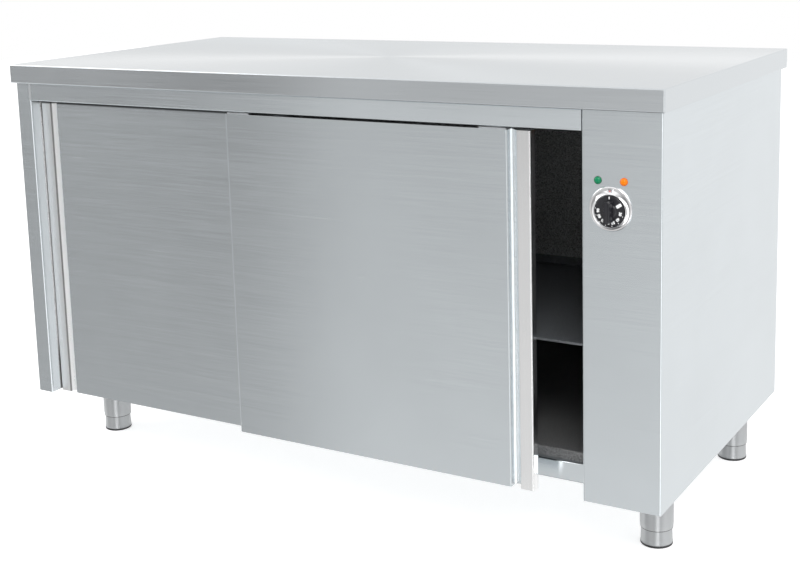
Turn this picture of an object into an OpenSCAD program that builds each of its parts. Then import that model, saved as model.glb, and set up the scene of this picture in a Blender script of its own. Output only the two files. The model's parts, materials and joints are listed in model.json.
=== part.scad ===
// Heated cupboard for plates: stainless body on four feet, two sliding doors, fan heater.
// Millimetres. X runs left to right, Y front to back, Z up from the floor.
// The origin is on the floor, under the middle of the worktop.

/* [Overall size] */
// Width of the worktop, left to right
top_w = 1400; // [1200:10:1800]
// Depth of the worktop, front to back
top_d = 700; // [650:10:800]
// Height of the worktop above the floor, feet wound in
overall_h = 825; // [780:5:920]
// Clear height under the body, feet wound in
leg_h = 127; // [120:1:160]

/* [Sheet metal] */
// Thickness of the outer sheets
sheet_t = 1.2; // [0.8:0.1:1.6]
// Thickness of the door and liner sheets
skin_t = 1; // [0.8:0.1:1.5]
// Inner radius of the folds
fold_r = 1.5; // [1:0.5:3]
// Gap between neighbouring sheets
sheet_gap = 0.2; // [0.1:0.1:0.5]

/* [Worktop] */
// Height of the worktop's edge
edge_h = 38; // [32:1:60]
// Width of the fold under the worktop's edge
edge_return = 22; // [18:1:40]
// Overhang of the worktop at the front
front_overhang = 10; // [0:1:20]
// Overhang of the worktop at each side
side_overhang = 6; // [0:1:20]
// Overhang of the worktop at the back
back_overhang = 15; // [0:1:30]
// Depth of the stiffeners under the top sheet
stiffener_h = 25; // [15:1:28]
// Width of each stiffener's box
stiffener_w = 50; // [30:1:80]
// Width of each stiffener's glued flange
stiffener_flange = 18; // [10:1:25]

/* [Front frame] */
// Width of the stile beside the left door
stile_w = 38; // [30:1:60]
// Width of the front face that carries the controls
control_w = 136; // [125:1:200]
// Height of the rail above the doors
header_h = 36; // [32:1:50]
// Depth of the folds beside the doors
return_d = 24; // [12:1:25]
// Depth of the fold under the rail
header_hem = 5; // [3:0.5:6]
// Depth of the fold behind the worktop's edge
header_flange = 44; // [36:1:50]

/* [Doors] */
// Thickness of each door
door_t = 18; // [17:0.5:19]
// How far the closed doors overlap
door_overlap = 35; // [30:1:40]
// Gap between a closed door and the frame beside it
door_gap = 1; // [0.5:0.5:3]
// Gap between a door and the rail above it
door_top_gap = 4.5; // [4:0.5:6]
// How far the doors hang below the body
door_drop = 2.5; // [1:0.5:6]
// How far the right door's face stands behind the frame
door_inset = 2; // [1.5:0.5:3]
// Distance from the front door's face to the rear door's face
lane_pitch = 25; // [23:1:30]
// How far the right door stands open
door_open = 90; // [0:1:200]
// Depth of the folds along the door's lower edge
door_hem = 4; // [3:0.5:4]

/* [Door handles] */
// Width of the folded handle at the door's edge
grip_w = 42; // [38:1:50]
// Depth of the finger groove
grip_depth = 16; // [12:0.5:16]
// Width of the groove's floor
grip_floor = 3; // [3:0.5:6]
// Width of the lip at the door's edge
grip_lip = 24; // [16:0.5:24]
// Radius of the bends on both sides of the groove's slope
grip_bend_r = 3; // [2:0.5:3]

/* [Door running gear] */
// Radius of a roller
roller_r = 10; // [8:0.5:11]
// Width of a roller
roller_w = 4.5; // [4:0.5:5]
// Radius of a roller's axle
axle_r = 2.5; // [2:0.5:3]
// Radial clearance between turning parts
run_gap = 0.05; // [0.02:0.01:0.1]
// Clearance between a roller and its track
roller_gap = 0.3; // [0.2:0.1:0.5]
// Thickness of the hanger plates
hanger_t = 2.5; // [2:0.5:3]
// Length of a hanger's foot
hanger_l = 50; // [40:1:60]
// Width of a hanger's web
web_w = 26; // [22:1:30]
// Wall of the upper track
track_t = 1.5; // [1.2:0.1:2]
// Clear width inside each lane of the track
lane_w = 16; // [15.5:0.1:16.5]
// Width of the slot under each lane
slot_w = 7; // [6:0.5:8]
// Height of the track above the rail's lower edge
track_lift = 6; // [5:0.5:7]
// Length of each rubber stop in the track
buffer_l = 25; // [15:1:40]
// Length of the lower guide blocks
guide_l = 25; // [15:1:26]
// Play of a guide block in the door's lower channel, each side
guide_play = 0.8; // [0.5:0.1:1.2]
// Height of a guide block inside the door
guide_h = 22; // [12:1:30]

/* [Heated chamber] */
// Distance from the front of the body to the chamber
chamber_front = 64; // [64:1:80]
// Thickness of the rear wall
rear_wall = 30; // [25:1:50]
// Height of the lip at the front of the base
lip_h = 35; // [25:1:50]
// Depth of the fold on top of that lip
lip_hem = 10; // [6:1:16]
// Height of the chamber floor above the lip
floor_rise = 17; // [10:1:30]
// Width of the flanges of the inner sheets
liner_flange = 20; // [12:1:25]
// Width of the folds behind the frame at both ends of the opening
liner_hem = 8; // [5:1:10]
// Height of the shelf above the chamber floor
shelf_rise = 190; // [120:5:260]
// Distance from the chamber's front to the shelf
shelf_setback = 26; // [15:1:60]
// Depth of the shelf
shelf_d = 490; // [400:5:540]
// Height of the shelf's front hem
shelf_hem = 4; // [3:0.5:8]
// Height of the shelf's rear upstand
shelf_upstand = 18; // [8:1:30]
// Width of the shelf's support rails
shelf_rail = 20; // [12:1:30]
// Width of each hat under the shelf
hat_w = 32; // [24:1:50]
// Width of the welded flanges of those hats
hat_flange = 12; // [8:1:20]

/* [Controls] */
// Distance of the dial from the left edge of the control face
dial_x = 50; // [44:1:60]
// Height of the dial below the worktop
dial_drop = 199; // [120:1:300]
// Radius of the dial
dial_r = 27; // [24:0.5:30]
// Thickness of the dial's skirt
dial_t = 6; // [4:0.5:8]
// Length of the dial's finger bar
bar_l = 36; // [30:1:48]
// Width of the dial's finger bar at the skirt
bar_w = 15; // [12:0.5:18]
// Width of the finger bar's front
bar_face = 9; // [7:0.5:11]
// Height of the finger bar above the skirt
bar_h = 15; // [12:0.5:18]
// Radius of the ring round the dial
bezel_r = 36.5; // [36:0.5:38]
// Depth of the ring round the dial
bezel_t = 6; // [4:0.5:8]
// How far the ring's centre stands above the dial's
bezel_rise = 4; // [0:0.5:4]
// Radius of the thermostat's shaft
shaft_r = 3; // [2.5:0.5:4]
// Height of the pilot lamps above the dial
lamp_rise = 48; // [46:1:60]
// Distance between the pilot lamps
lamp_pitch = 44; // [30:1:60]
// Radius of a pilot lamp's lens
lamp_r = 6.5; // [5:0.5:8]

/* [Fan heater] */
// Height of the fan above the shelf
fan_rise = 115; // [105:1:150]
// Distance of the fan from the middle of the cabinet, front to back
fan_y = 20; // [-60:5:60]
// Radius of the fan wheel
wheel_r = 62; // [50:1:65]
// Width of the fan wheel
wheel_w = 34; // [25:1:36]
// Number of blades on the fan wheel
blade_count = 24; // [12:1:30]
// Radius of the fan's shaft
fan_shaft_r = 4; // [3:0.5:5]
// Side of the square heater housing
housing_s = 230; // [220:5:260]
// Depth of the heater housing
housing_d = 52; // [50:1:56]
// Radius of the heating element's rings
element_r = 82; // [78:1:88]
// Radius of the heating element's tube
element_tube_r = 4.25; // [3:0.25:5]
// Side of the fan motor's core
motor_s = 66; // [50:1:80]
// Length of the fan motor
motor_l = 44; // [36:1:50]

/* [Feet] */
// Distance of the feet from the body's sides
foot_inset_x = 66; // [50:1:120]
// Distance of the front feet behind the chamber's front
foot_front = 99; // [60:1:140]
// Distance of the rear feet from the body's back
foot_back = 71; // [50:1:140]
// Radius of the fixed leg
collar_r = 29.5; // [29:0.5:35]
// Wall of the fixed leg
collar_t = 1.5; // [1.2:0.1:2]
// Height of the foot that shows below the leg
foot_show = 32; // [28:1:40]
// Radius of the foot where it enters the leg
foot_top_r = 27; // [22:0.5:27]
// Radius of the foot at its sole
foot_base_r = 28; // [25:0.5:30]
// Thickness of the sole
sole_t = 4; // [3:0.5:6]
// Radius of the foot's spindle
spindle_r = 8; // [6:0.5:10]
// How far a foot can be wound out
foot_travel = 35; // [20:1:36]

/* [Hidden] */
$fn = 96;

// Colours
steel = [0.76, 0.78, 0.79];
bright_steel = [0.85, 0.86, 0.87];
dark_steel = [0.35, 0.36, 0.37];
black = [0.09, 0.09, 0.1];
nylon = [0.9, 0.9, 0.86];

// Lengths that make a cut pass cleanly through a sheet
cut = 1;
// Steps of each fold's arc
fold_steps = 6;

// Faces of the body
body_x = top_w / 2 - side_overhang;
front_y = -top_d / 2 + front_overhang;
back_y = top_d / 2 - back_overhang;
edge_z = overall_h - edge_h;
outer_fold = fold_r + sheet_t;
skin_fold = fold_r + skin_t;

// Door opening
open_l = -body_x + stile_w;
open_r = body_x - control_w;
open_mid = (open_l + open_r) / 2;
header_z = edge_z - header_h;

// Doors
door_w = (open_r - open_l + door_overlap) / 2;
door_z0 = leg_h - door_drop;
door_z1 = header_z - door_top_gap;
door_h = door_z1 - door_z0;
panel_w = door_w - grip_w;
front_face_y = front_y + door_inset;
rear_face_y = front_face_y + lane_pitch;
lane_mid = door_t / 2;
right_x = open_r - door_gap - door_open - door_w;
left_x = open_l + door_gap;

// Running gear
track_z0 = header_z + track_lift;
track_z1 = edge_z - sheet_t;
axle_z = track_z0 + track_t + roller_gap + roller_r;
hanger_x = [hanger_l / 2 + 3, panel_w - hanger_l / 2 - 3];
web_gap = 0.6;
roller_y0 = hanger_t / 2 + web_gap;
axle_half = roller_y0 + roller_w + 0.4;
track_y0 = front_face_y + lane_mid - lane_w / 2 - track_t;
track_d = lane_pitch + lane_w + 2 * track_t;
channel_w = door_t - 2 * (door_hem + skin_t);
guide_w = channel_w - 2 * guide_play;
guide_clear = 2;
bracket_t = 1.5;
bracket_gap = 1;
buffer_play = 0.5;

// Travel of the doors, from the places where they stand
guide_edge = open_mid + guide_l / 2 + guide_clear;
right_travel_left = right_x + panel_w - guide_edge;
right_travel_right = door_open;
left_travel_right = 2 * open_mid - guide_edge - grip_w - left_x;

// Chamber
chamber_y0 = front_y + chamber_front;
chamber_y1 = back_y - rear_wall;
floor_z = leg_h + lip_h + floor_rise;
ceiling_z = header_z - 1;
shelf_z = floor_z + shelf_rise;
shelf_y0 = chamber_y0 + shelf_setback;
base_top = leg_h + sheet_t;
liner_front = front_y + return_d + sheet_gap;

// Controls
dial_cx = open_r + dial_x;
dial_z = overall_h - dial_drop;
dial_gap = 1.5;
dial_play = 1.5;
lamp_z = dial_z + lamp_rise;
control_in_y = front_y + sheet_t;

// Fan heater
fan_z = shelf_z + fan_rise;
housing_x0 = open_r + skin_t;
wheel_x0 = housing_x0 + 4;
motor_x0 = housing_x0 + housing_d;
ring_x = [housing_x0 + 13, housing_x0 + 31];
element_bend_r = (ring_x[1] - ring_x[0]) / 2;

// Service openings at the back
cover_x0 = open_r - 10;
gland_x = (cover_x0 + body_x) / 2;
gland_z = leg_h + 80;
gland_hole_r = 10;

// Feet
foot_x = body_x - foot_inset_x;
foot_y0 = chamber_y0 + foot_front;
foot_y1 = back_y - foot_back;
nut_z0 = 80;
nut_h = 10;

// Unit vector, and the vector to the right of a direction
function unit(v) = v / norm(v);
function right_of(d) = [d.y, -d.x];

// Points on an arc, from angle a0 to angle a1
function arc(c, r, a0, a1, n) = [for (i = [0:n]) c + r * [cos(a0 + (a1 - a0) * i / n), sin(a0 + (a1 - a0) * i / n)]];

// One rounded corner of a folded sheet: each entry is a point on the seen face and the way into the sheet
function fold(a, b, c, r) =
    let (u = unit(a - b), w = unit(c - b), half = acos(u * w) / 2)
    let (centre = b + unit(u + w) * r / sin(half), start = b + u * r / tan(half), end = b + w * r / tan(half))
    let (a0 = atan2(start.y - centre.y, start.x - centre.x), a1 = atan2(end.y - centre.y, end.x - centre.x))
    let (turn = a1 - a0 - 360 * round((a1 - a0) / 360), side = turn < 0 ? -1 : 1)
    [for (i = [0:fold_steps])
        let (q = a0 + turn * i / fold_steps)
        [centre + r * [cos(q), sin(q)], side * [cos(q), sin(q)]]];

// The seen face of a folded sheet, from its corner points and the radius of each inner corner
function seen_face(p, r) = concat(
    [[p[0], right_of(unit(p[1] - p[0]))]],
    [for (i = [1:len(p) - 2]) each fold(p[i - 1], p[i], p[i + 1], is_list(r) ? r[i - 1] : r)],
    [[p[len(p) - 1], right_of(unit(p[len(p) - 1] - p[len(p) - 2]))]]
);

// Section of a folded sheet: the seen face runs along p, with the metal on its right
module folded(p, t = sheet_t, r = outer_fold) {
    face = seen_face(p, r);
    last = len(face) - 1;
    polygon(concat([for (q = face) q[0]], [for (i = [last:-1:0]) face[i][0] + face[i][1] * t]));
}

// Extrudes a section drawn in Y and Z along X
module along_x(x0, x1) {
    translate([x0, 0, 0]) rotate([90, 0, 90]) linear_extrude(x1 - x0) children();
}

// Extrudes a section drawn in X and Z along Y
module along_y(y0, y1) {
    translate([0, y1, 0]) rotate([90, 0, 0]) linear_extrude(y1 - y0) children();
}

// Extrudes a section drawn in X and Y along Z
module along_z(z0, z1) {
    translate([0, 0, z0]) linear_extrude(z1 - z0) children();
}

// Rod along an axis, from its first to its last coordinate
module rod_x(x0, x1, r) {
    translate([x0, 0, 0]) rotate([0, 90, 0]) cylinder(h = x1 - x0, r = r);
}

module rod_y(y0, y1, r) {
    translate([0, y1, 0]) rotate([90, 0, 0]) cylinder(h = y1 - y0, r = r);
}

// Rectangle with rounded corners, centred on the origin
module rounded_rect(w, h, r) {
    polygon(concat(
        arc([w / 2 - r, h / 2 - r], r, 0, 90, fold_steps),
        arc([r - w / 2, h / 2 - r], r, 90, 180, fold_steps),
        arc([r - w / 2, r - h / 2], r, 180, 270, fold_steps),
        arc([w / 2 - r, r - h / 2], r, 270, 360, fold_steps)
    ));
}

// Row of slots with round ends, for air, in a section drawn across the row
module slot_row(count, pitch, length, width) {
    for (i = [0:count - 1])
        translate([(i - (count - 1) / 2) * pitch, 0]) {
            square([width, length - width], center = true);
            for (side = [-1, 1])
                translate([0, side * (length - width) / 2]) circle(d = width);
        }
}

// Worktop: one sheet with its edges folded down and back under
module worktop() {
    inner_w = top_w - 2 * sheet_t;
    inner_d = top_d - 2 * sheet_t;
    color(steel) difference() {
        intersection() {
            along_x(-top_w / 2, top_w / 2)
                translate([0, edge_z + edge_h / 2]) rounded_rect(top_d, edge_h, outer_fold);
            along_y(-top_d / 2, top_d / 2)
                translate([0, edge_z + edge_h / 2]) rounded_rect(top_w, edge_h, outer_fold);
            along_z(edge_z, overall_h) rounded_rect(top_w, top_d, outer_fold);
        }
        translate([-inner_w / 2, -inner_d / 2, edge_z + sheet_t])
            cube([inner_w, inner_d, edge_h - 2 * sheet_t]);
        translate([edge_return - top_w / 2, edge_return - top_d / 2, edge_z - cut])
            cube([top_w - 2 * edge_return, top_d - 2 * edge_return, sheet_t + 2 * cut]);
    }
}

// Hat-shaped stiffeners glued under the top sheet
module worktop_stiffeners() {
    z1 = overall_h - sheet_t;
    z0 = z1 - stiffener_h;
    half = stiffener_w / 2;
    slope = 4;
    color(steel) for (y = [-top_d / 6, top_d / 6])
        along_x(edge_return - top_w / 2 + 20, top_w / 2 - edge_return - 20) translate([y, 0])
            folded([
                [half + slope + stiffener_flange, z1 - sheet_t], [half + slope, z1 - sheet_t], [half, z0],
                [-half, z0], [-half - slope, z1 - sheet_t], [-half - slope - stiffener_flange, z1 - sheet_t]
            ]);
}

// Places of the screws that hold the back panel and the service cover
screw_inset = 9;
back_rows = [base_top + 16, (leg_h + edge_z) / 2, edge_z - 22];
cover_columns = [cover_x0 + screw_inset, body_x - sheet_t - screw_inset];
back_columns = [sheet_t + screw_inset - body_x, cover_x0 - sheet_gap - screw_inset];
screw_r = 2;
screw_hole_r = 2.2;

module back_screw_places() {
    for (x = concat(back_columns, cover_columns), z = back_rows)
        translate([x, 0, z]) children();
}

module back_screw_holes() {
    back_screw_places() rod_y(back_y - 4 * sheet_t, back_y + cut, screw_hole_r);
}

// Left side: one sheet with the stile, its return beside the doors and a rear flange
module left_side_panel() {
    color(steel) difference() {
        along_z(leg_h, edge_z) folded([
            [open_l, front_y + return_d], [open_l, front_y], [-body_x, front_y],
            [-body_x, back_y - sheet_t - sheet_gap], [liner_flange - body_x, back_y - sheet_t - sheet_gap]
        ]);
        back_screw_holes();
    }
}

// Right side: one sheet with the control face, its return beside the doors and a rear flange
module right_side_panel() {
    rear = back_y - sheet_t - sheet_gap;
    color(steel) difference() {
        along_z(leg_h, edge_z) folded([
            [body_x - liner_flange, rear], [body_x, rear], [body_x, front_y],
            [open_r, front_y], [open_r, front_y + return_d]
        ]);
        translate([dial_cx, 0, dial_z])
            rod_y(front_y - cut, control_in_y + cut, shaft_r + 2);
        for (side = [-1, 1])
            translate([dial_cx + side * lamp_pitch / 2, 0, lamp_z])
                rod_y(front_y - cut, control_in_y + cut, lamp_r - 1);
        back_screw_holes();
    }
}

// Rail above the doors, folded back under the worktop
module header_rail() {
    color(steel) along_x(open_l + sheet_gap, open_r - sheet_gap) folded([
        [front_y + header_hem, header_z], [front_y, header_z],
        [front_y, edge_z], [front_y + header_flange, edge_z]
    ]);
}

// Double track: two lanes, each slotted underneath for the hangers
module upper_track() {
    color(bright_steel) along_x(open_l + door_gap, open_r - door_gap) difference() {
        translate([track_y0 + track_d / 2, (track_z0 + track_z1) / 2])
            rounded_rect(track_d, track_z1 - track_z0, fold_r);
        for (y = [front_face_y + lane_mid, rear_face_y + lane_mid]) {
            translate([y - lane_w / 2, track_z0 + track_t])
                square([lane_w, track_z1 - track_z0 - 2 * track_t]);
            translate([y - slot_w / 2, track_z0 - cut]) square([slot_w, track_t + 2 * cut]);
        }
        translate([front_face_y + lane_mid + lane_w / 2 + track_t, track_z0 - cut])
            square([lane_pitch - lane_w - 2 * track_t, track_z1 - track_z0 - track_t + cut]);
    }
}

// Rubber stops at both ends of each lane
module track_buffers() {
    side = 0.3;
    reach = max(roller_r, web_w / 2) + buffer_play;
    front_l = right_x - right_travel_left + hanger_x[0] - reach - buffer_l;
    front_r = right_x + right_travel_right + hanger_x[1] + reach;
    rear_l = left_x + door_w - hanger_x[1] - reach - buffer_l;
    rear_r = left_x + left_travel_right + door_w - hanger_x[0] + reach;
    places = [
        [front_l, front_face_y], [front_r, front_face_y],
        [rear_l, rear_face_y], [rear_r, rear_face_y]
    ];
    color(black) for (p = places)
        translate([p.x, p.y + lane_mid - lane_w / 2 + side, track_z0 + track_t])
            cube([buffer_l, lane_w - 2 * side, 2 * roller_r]);
}

// Base: bottom sheet with a lip across the opening, an upstand behind, and an ear that closes
// the body at each side of the opening, with notches where the folds of the outer sheets are
module base_tray() {
    half_w = body_x - sheet_t - sheet_gap;
    ear_l = open_l - sheet_t - sheet_gap;
    ear_r = open_r + sheet_t + sheet_gap;
    rear = back_y - 2 * sheet_t - 2 * sheet_gap;
    front = front_y + sheet_t + sheet_gap;
    middle = chamber_y0 + 2 * lip_hem;
    top = base_top + liner_flange;
    color(steel) difference() {
        union() {
            along_x(-half_w, half_w) folded([[rear, top], [rear, leg_h], [middle - lip_hem, leg_h]]);
            along_x(open_l, open_r) folded([
                [middle, leg_h], [chamber_y0, leg_h], [chamber_y0, leg_h + lip_h],
                [chamber_y0 + lip_hem, leg_h + lip_h]
            ]);
            for (ear = [[-half_w, ear_l], [ear_r, half_w]])
                along_x(ear[0], ear[1]) folded([[middle, leg_h], [front, leg_h], [front, top]]);
        }
        for (corner = [[-half_w, rear], [half_w, rear], [-half_w, front], [half_w, front], [ear_l, front], [ear_r, front]])
            translate(corner) along_z(leg_h - cut, top + cut) square(2 * outer_fold, center = true);
        back_screw_holes();
        collar_screw_places() translate([0, 0, leg_h - cut]) cylinder(h = sheet_t + 2 * cut, r = screw_hole_r);
        for (x = bracket_screws)
            translate([x, bracket_screw_y, leg_h - cut]) cylinder(h = sheet_t + 2 * cut, r = screw_hole_r);
    }
}

// Floor of the chamber, with a front face above the lip and an upstand behind
module chamber_floor() {
    y0 = chamber_y0 + lip_hem + sheet_gap;
    y1 = chamber_y1 - skin_t - sheet_gap;
    color(dark_steel) along_x(open_l + sheet_gap, open_r - sheet_gap)
        folded([[y0, base_top], [y0, floor_z], [y1, floor_z], [y1, floor_z + liner_flange]], skin_t, skin_fold);
}

// Left wall of the chamber
module left_liner() {
    color(dark_steel) difference() {
        along_z(base_top, edge_z) folded([
            [open_l, chamber_y1 + liner_flange], [open_l, liner_front], [open_l - liner_hem, liner_front]
        ], skin_t, skin_fold);
        rail_screw_places() translate([open_l, 0, 0]) rod_x(-2 * skin_t, cut, screw_hole_r);
    }
}

// Right wall of the chamber, with the fan's opening, its outlets and the sensor's hole
module partition() {
    color(dark_steel) difference() {
        along_z(base_top, edge_z) folded([
            [open_r + liner_hem, liner_front], [open_r, liner_front], [open_r, chamber_y1 + liner_flange]
        ], skin_t, skin_fold);
        translate([0, fan_y, fan_z]) rod_x(open_r - cut, open_r + skin_t + cut, wheel_r * 0.8);
        for (side = [-1, 1])
            along_x(open_r - cut, open_r + skin_t + cut)
                translate([fan_y, fan_z + side * (housing_s / 2 - 20)]) slot_row(9, 20, 22, 8);
        translate([0, capillary_y, sensor_z]) rod_x(open_r - cut, open_r + skin_t + cut, 4);
        rail_screw_places() translate([open_r, 0, 0]) rod_x(-cut, 2 * skin_t, screw_hole_r);
    }
}

// Rear wall of the chamber
module back_liner() {
    x0 = open_l + sheet_gap;
    x1 = open_r - sheet_gap;
    color(dark_steel) along_z(base_top, ceiling_z) folded([
        [x1, chamber_y1 + liner_flange], [x1, chamber_y1],
        [x0, chamber_y1], [x0, chamber_y1 + liner_flange]
    ], skin_t, skin_fold);
}

// Ceiling of the chamber, with a front flange up to the worktop
module chamber_ceiling() {
    color(dark_steel) along_x(open_l + sheet_gap, open_r - sheet_gap) folded([
        [chamber_y1 + liner_flange, ceiling_z], [chamber_y0, ceiling_z], [chamber_y0, edge_z]
    ], skin_t, skin_fold);
}

// Outer back, and beside it the cover of the technical compartment
module back_panel() {
    x0 = sheet_t + sheet_gap - body_x;
    x1 = cover_x0 - sheet_gap;
    color(steel) difference() {
        along_y(back_y - sheet_t, back_y)
            translate([(x0 + x1) / 2, (leg_h + edge_z) / 2]) rounded_rect(x1 - x0, edge_z - leg_h, sheet_t);
        back_screw_holes();
    }
}

module service_cover() {
    x1 = body_x - sheet_t - sheet_gap;
    color(steel) difference() {
        along_y(back_y - sheet_t, back_y) difference() {
            translate([(cover_x0 + x1) / 2, (leg_h + edge_z) / 2])
                rounded_rect(x1 - cover_x0, edge_z - leg_h, sheet_t);
            for (z = [fan_z - 60, fan_z + 60])
                translate([(cover_x0 + x1) / 2, z]) slot_row(7, 12, 70, 5);
        }
        translate([gland_x, 0, gland_z]) rod_y(back_y - 2 * sheet_t, back_y + cut, gland_hole_r);
        back_screw_holes();
    }
}

// Shelf: one sheet with a low hem in front and an upstand behind, on two welded hats
module shelf() {
    x0 = open_l + skin_t + sheet_gap;
    x1 = open_r - skin_t - sheet_gap;
    low = hat_w / 2;
    high = low + shelf_rail / 5;
    color(bright_steel) {
        along_x(x0, x1) folded([
            [shelf_y0, shelf_z - shelf_hem], [shelf_y0, shelf_z],
            [shelf_y0 + shelf_d, shelf_z], [shelf_y0 + shelf_d, shelf_z + shelf_upstand]
        ], skin_t, skin_fold);
        for (y = [shelf_y0 + shelf_d / 4, shelf_y0 + shelf_d * 3 / 4])
            along_x(x0 + shelf_rail + 5, x1 - shelf_rail - 5) translate([y, shelf_z - skin_t]) folded([
                [high + hat_flange, -skin_t], [high, -skin_t], [low, -shelf_rail],
                [-low, -shelf_rail], [-high, -skin_t], [-high - hat_flange, -skin_t]
            ], skin_t, skin_fold);
    }
}

// Angle rails that carry the shelf at both ends
rail_y0 = shelf_y0 + shelf_rail;
rail_y1 = shelf_y0 + shelf_d - shelf_rail;
rail_screws_y = [rail_y0 + shelf_rail * 1.5, rail_y1 - shelf_rail * 1.5];
rail_screw_z = shelf_z - skin_t - shelf_rail / 2;

module rail_screw_places() {
    for (y = rail_screws_y)
        translate([0, y, rail_screw_z]) children();
}

module shelf_rails() {
    z = shelf_z - skin_t;
    color(bright_steel) {
        difference() {
            along_y(rail_y0, rail_y1) folded([
                [open_l, z - shelf_rail], [open_l, z], [open_l + shelf_rail, z]
            ]);
            rail_screw_places() rod_x(open_l - cut, open_l + 2 * sheet_t, screw_hole_r);
        }
        difference() {
            along_y(rail_y0, rail_y1) folded([
                [open_r - shelf_rail, z], [open_r, z], [open_r, z - shelf_rail]
            ]);
            rail_screw_places() rod_x(open_r - 2 * sheet_t, open_r + cut, screw_hole_r);
        }
    }
}

// Lower guide: a stepped bracket under the base with one block for each door
bracket_w = 50;
bracket_screws = [open_mid - 15, open_mid + 15];
bracket_screw_y = chamber_y0 + 22;

module guide_bracket() {
    low = door_z0 - bracket_gap;
    step = leg_h - low;
    color(bright_steel) difference() {
        along_x(open_mid - bracket_w / 2, open_mid + bracket_w / 2) folded([
            [front_face_y + lane_mid - guide_w / 2, low], [chamber_y0 - 6 - step, low],
            [chamber_y0 - 6, leg_h], [chamber_y0 + 34, leg_h]
        ], bracket_t, bracket_t);
        for (x = bracket_screws)
            translate([x, bracket_screw_y, leg_h - bracket_t - cut])
                cylinder(h = bracket_t + 2 * cut, r = screw_hole_r);
    }
}

module guide_blocks() {
    z0 = door_z0 - bracket_gap;
    z1 = door_z0 + guide_h;
    color(nylon) for (y = [front_face_y + lane_mid, rear_face_y + lane_mid])
        along_z(z0, z1) translate([open_mid, y]) rounded_rect(guide_l, guide_w, guide_w / 4);
}

// Screws: a low domed head on a short shank
module screw(length) {
    head_r = screw_r * 2;
    head_h = screw_r;
    intersection() {
        translate([0, 0, head_h - head_r * 1.25]) sphere(r = head_r * 1.25);
        cylinder(h = head_h, r = head_r);
    }
    translate([0, 0, -length]) cylinder(h = length, r = screw_r);
}

module body_screws() {
    color(bright_steel) {
        back_screw_places() translate([0, back_y, 0]) rotate([-90, 0, 0]) screw(4 * sheet_t - cut / 2);
        for (x = bracket_screws)
            translate([x, bracket_screw_y, leg_h - bracket_t]) rotate([180, 0, 0]) screw(bracket_t + sheet_t + cut);
        collar_screw_places() translate([0, 0, leg_h - collar_flange_t]) rotate([180, 0, 0])
            screw(collar_flange_t + sheet_t + cut);
        translate([open_l + sheet_t, 0, 0]) rail_screw_places() rotate([0, 90, 0]) screw(sheet_t + 2 * skin_t);
        translate([open_r - sheet_t, 0, 0]) rail_screw_places() rotate([0, -90, 0]) screw(sheet_t + 2 * skin_t);
    }
}

// Heater housing: a square pan on the far side of the partition
housing_flange = 12;

module heater_housing() {
    s = housing_s;
    color(bright_steel) translate([housing_x0, fan_y, fan_z]) difference() {
        union() {
            along_x(0, sheet_t) rounded_rect(s + 2 * housing_flange, s + 2 * housing_flange, outer_fold);
            along_x(0, housing_d) rounded_rect(s, s, outer_fold + 3);
        }
        along_x(-cut, housing_d - sheet_t)
            rounded_rect(s - 2 * sheet_t, s - 2 * sheet_t, outer_fold + 3 - sheet_t);
        rod_x(housing_d - 2 * sheet_t, housing_d + cut, fan_shaft_r + 3);
        for (length = cold_end)
            translate([0, element_r, length + element_bend_r])
                rod_x(housing_d - 2 * sheet_t, housing_d + cut, element_tube_r + 0.3);
    }
}

// Heating element: one tube bent into two rings round the fan wheel.
// A turn at the top joins the rings, and both straight ends leave through the housing's back.
cold_end = [46, 12];
terminal_l = 10;

module element_ring() {
    rotate([90, 0, 90]) rotate([0, 0, 90]) rotate_extrude(angle = 270, $fn = 60)
        translate([element_r, 0]) circle(r = element_tube_r, $fn = 20);
}

module element_bend(angle) {
    rotate_extrude(angle = angle, $fn = 24) translate([element_bend_r, 0]) circle(r = element_tube_r, $fn = 20);
}

module heating_element() {
    color(dark_steel) translate([0, fan_y, fan_z]) {
        translate([(ring_x[0] + ring_x[1]) / 2, 0, element_r]) element_bend(180);
        for (i = [0, 1])
            translate([ring_x[i], 0, 0]) {
                element_ring();
                translate([0, element_r, 0]) cylinder(h = cold_end[i], r = element_tube_r, $fn = 20);
                translate([element_bend_r, element_r, cold_end[i]]) rotate([90, 0, 0]) rotate([0, 0, 90])
                    element_bend(90);
                translate([0, element_r, cold_end[i] + element_bend_r]) {
                    x1 = motor_x0 + 10 - ring_x[i];
                    rod_x(element_bend_r, x1, element_tube_r, $fn = 20);
                    rod_x(x1, x1 + terminal_l, element_tube_r / 2, $fn = 20);
                }
            }
    }
}

// Fan motor: a square core between two round end bells, on four studs
stud_l = 8;

module fan_motor() {
    x0 = motor_x0 + stud_l;
    bell = 9;
    color(dark_steel) translate([0, fan_y, fan_z]) difference() {
        union() {
            along_x(x0 + bell, x0 + motor_l - bell) rounded_rect(motor_s, motor_s, 8);
            rod_x(x0, x0 + motor_l, motor_s * 0.42);
            rod_x(x0 + motor_l - cut, x0 + motor_l + 5, fan_shaft_r + 5);
            for (y = [-1, 1], z = [-1, 1])
                translate([0, y * motor_s * 0.38, z * motor_s * 0.38])
                    rod_x(motor_x0, x0 + motor_l - bell + 3, 3);
        }
        rod_x(motor_x0 - cut, x0 + motor_l + 5 + cut, fan_shaft_r + run_gap);
    }
}

// Guard over the fan's opening: rings of slots in a shallow dish
module intake_grille() {
    r = wheel_r * 0.8;
    rings = 4;
    t = skin_t;
    color(bright_steel) translate([open_r - t, fan_y, fan_z]) difference() {
        union() {
            rod_x(0, t, r + 12);
            rod_x(-3, 0, r);
        }
        rod_x(-3 + t, t + cut, r - t);
        for (i = [1:rings], a = [0:45:315])
            rotate([a, 0, 0]) along_x(-3 - cut, t + cut)
                air_slot(r * i / (rings + 0.6), 3, 34);
        for (a = [0:90:270])
            rotate([a + 45, 0, 0]) translate([0, 0, r + 7]) rod_x(-cut, t + cut, screw_r);
    }
}

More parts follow.
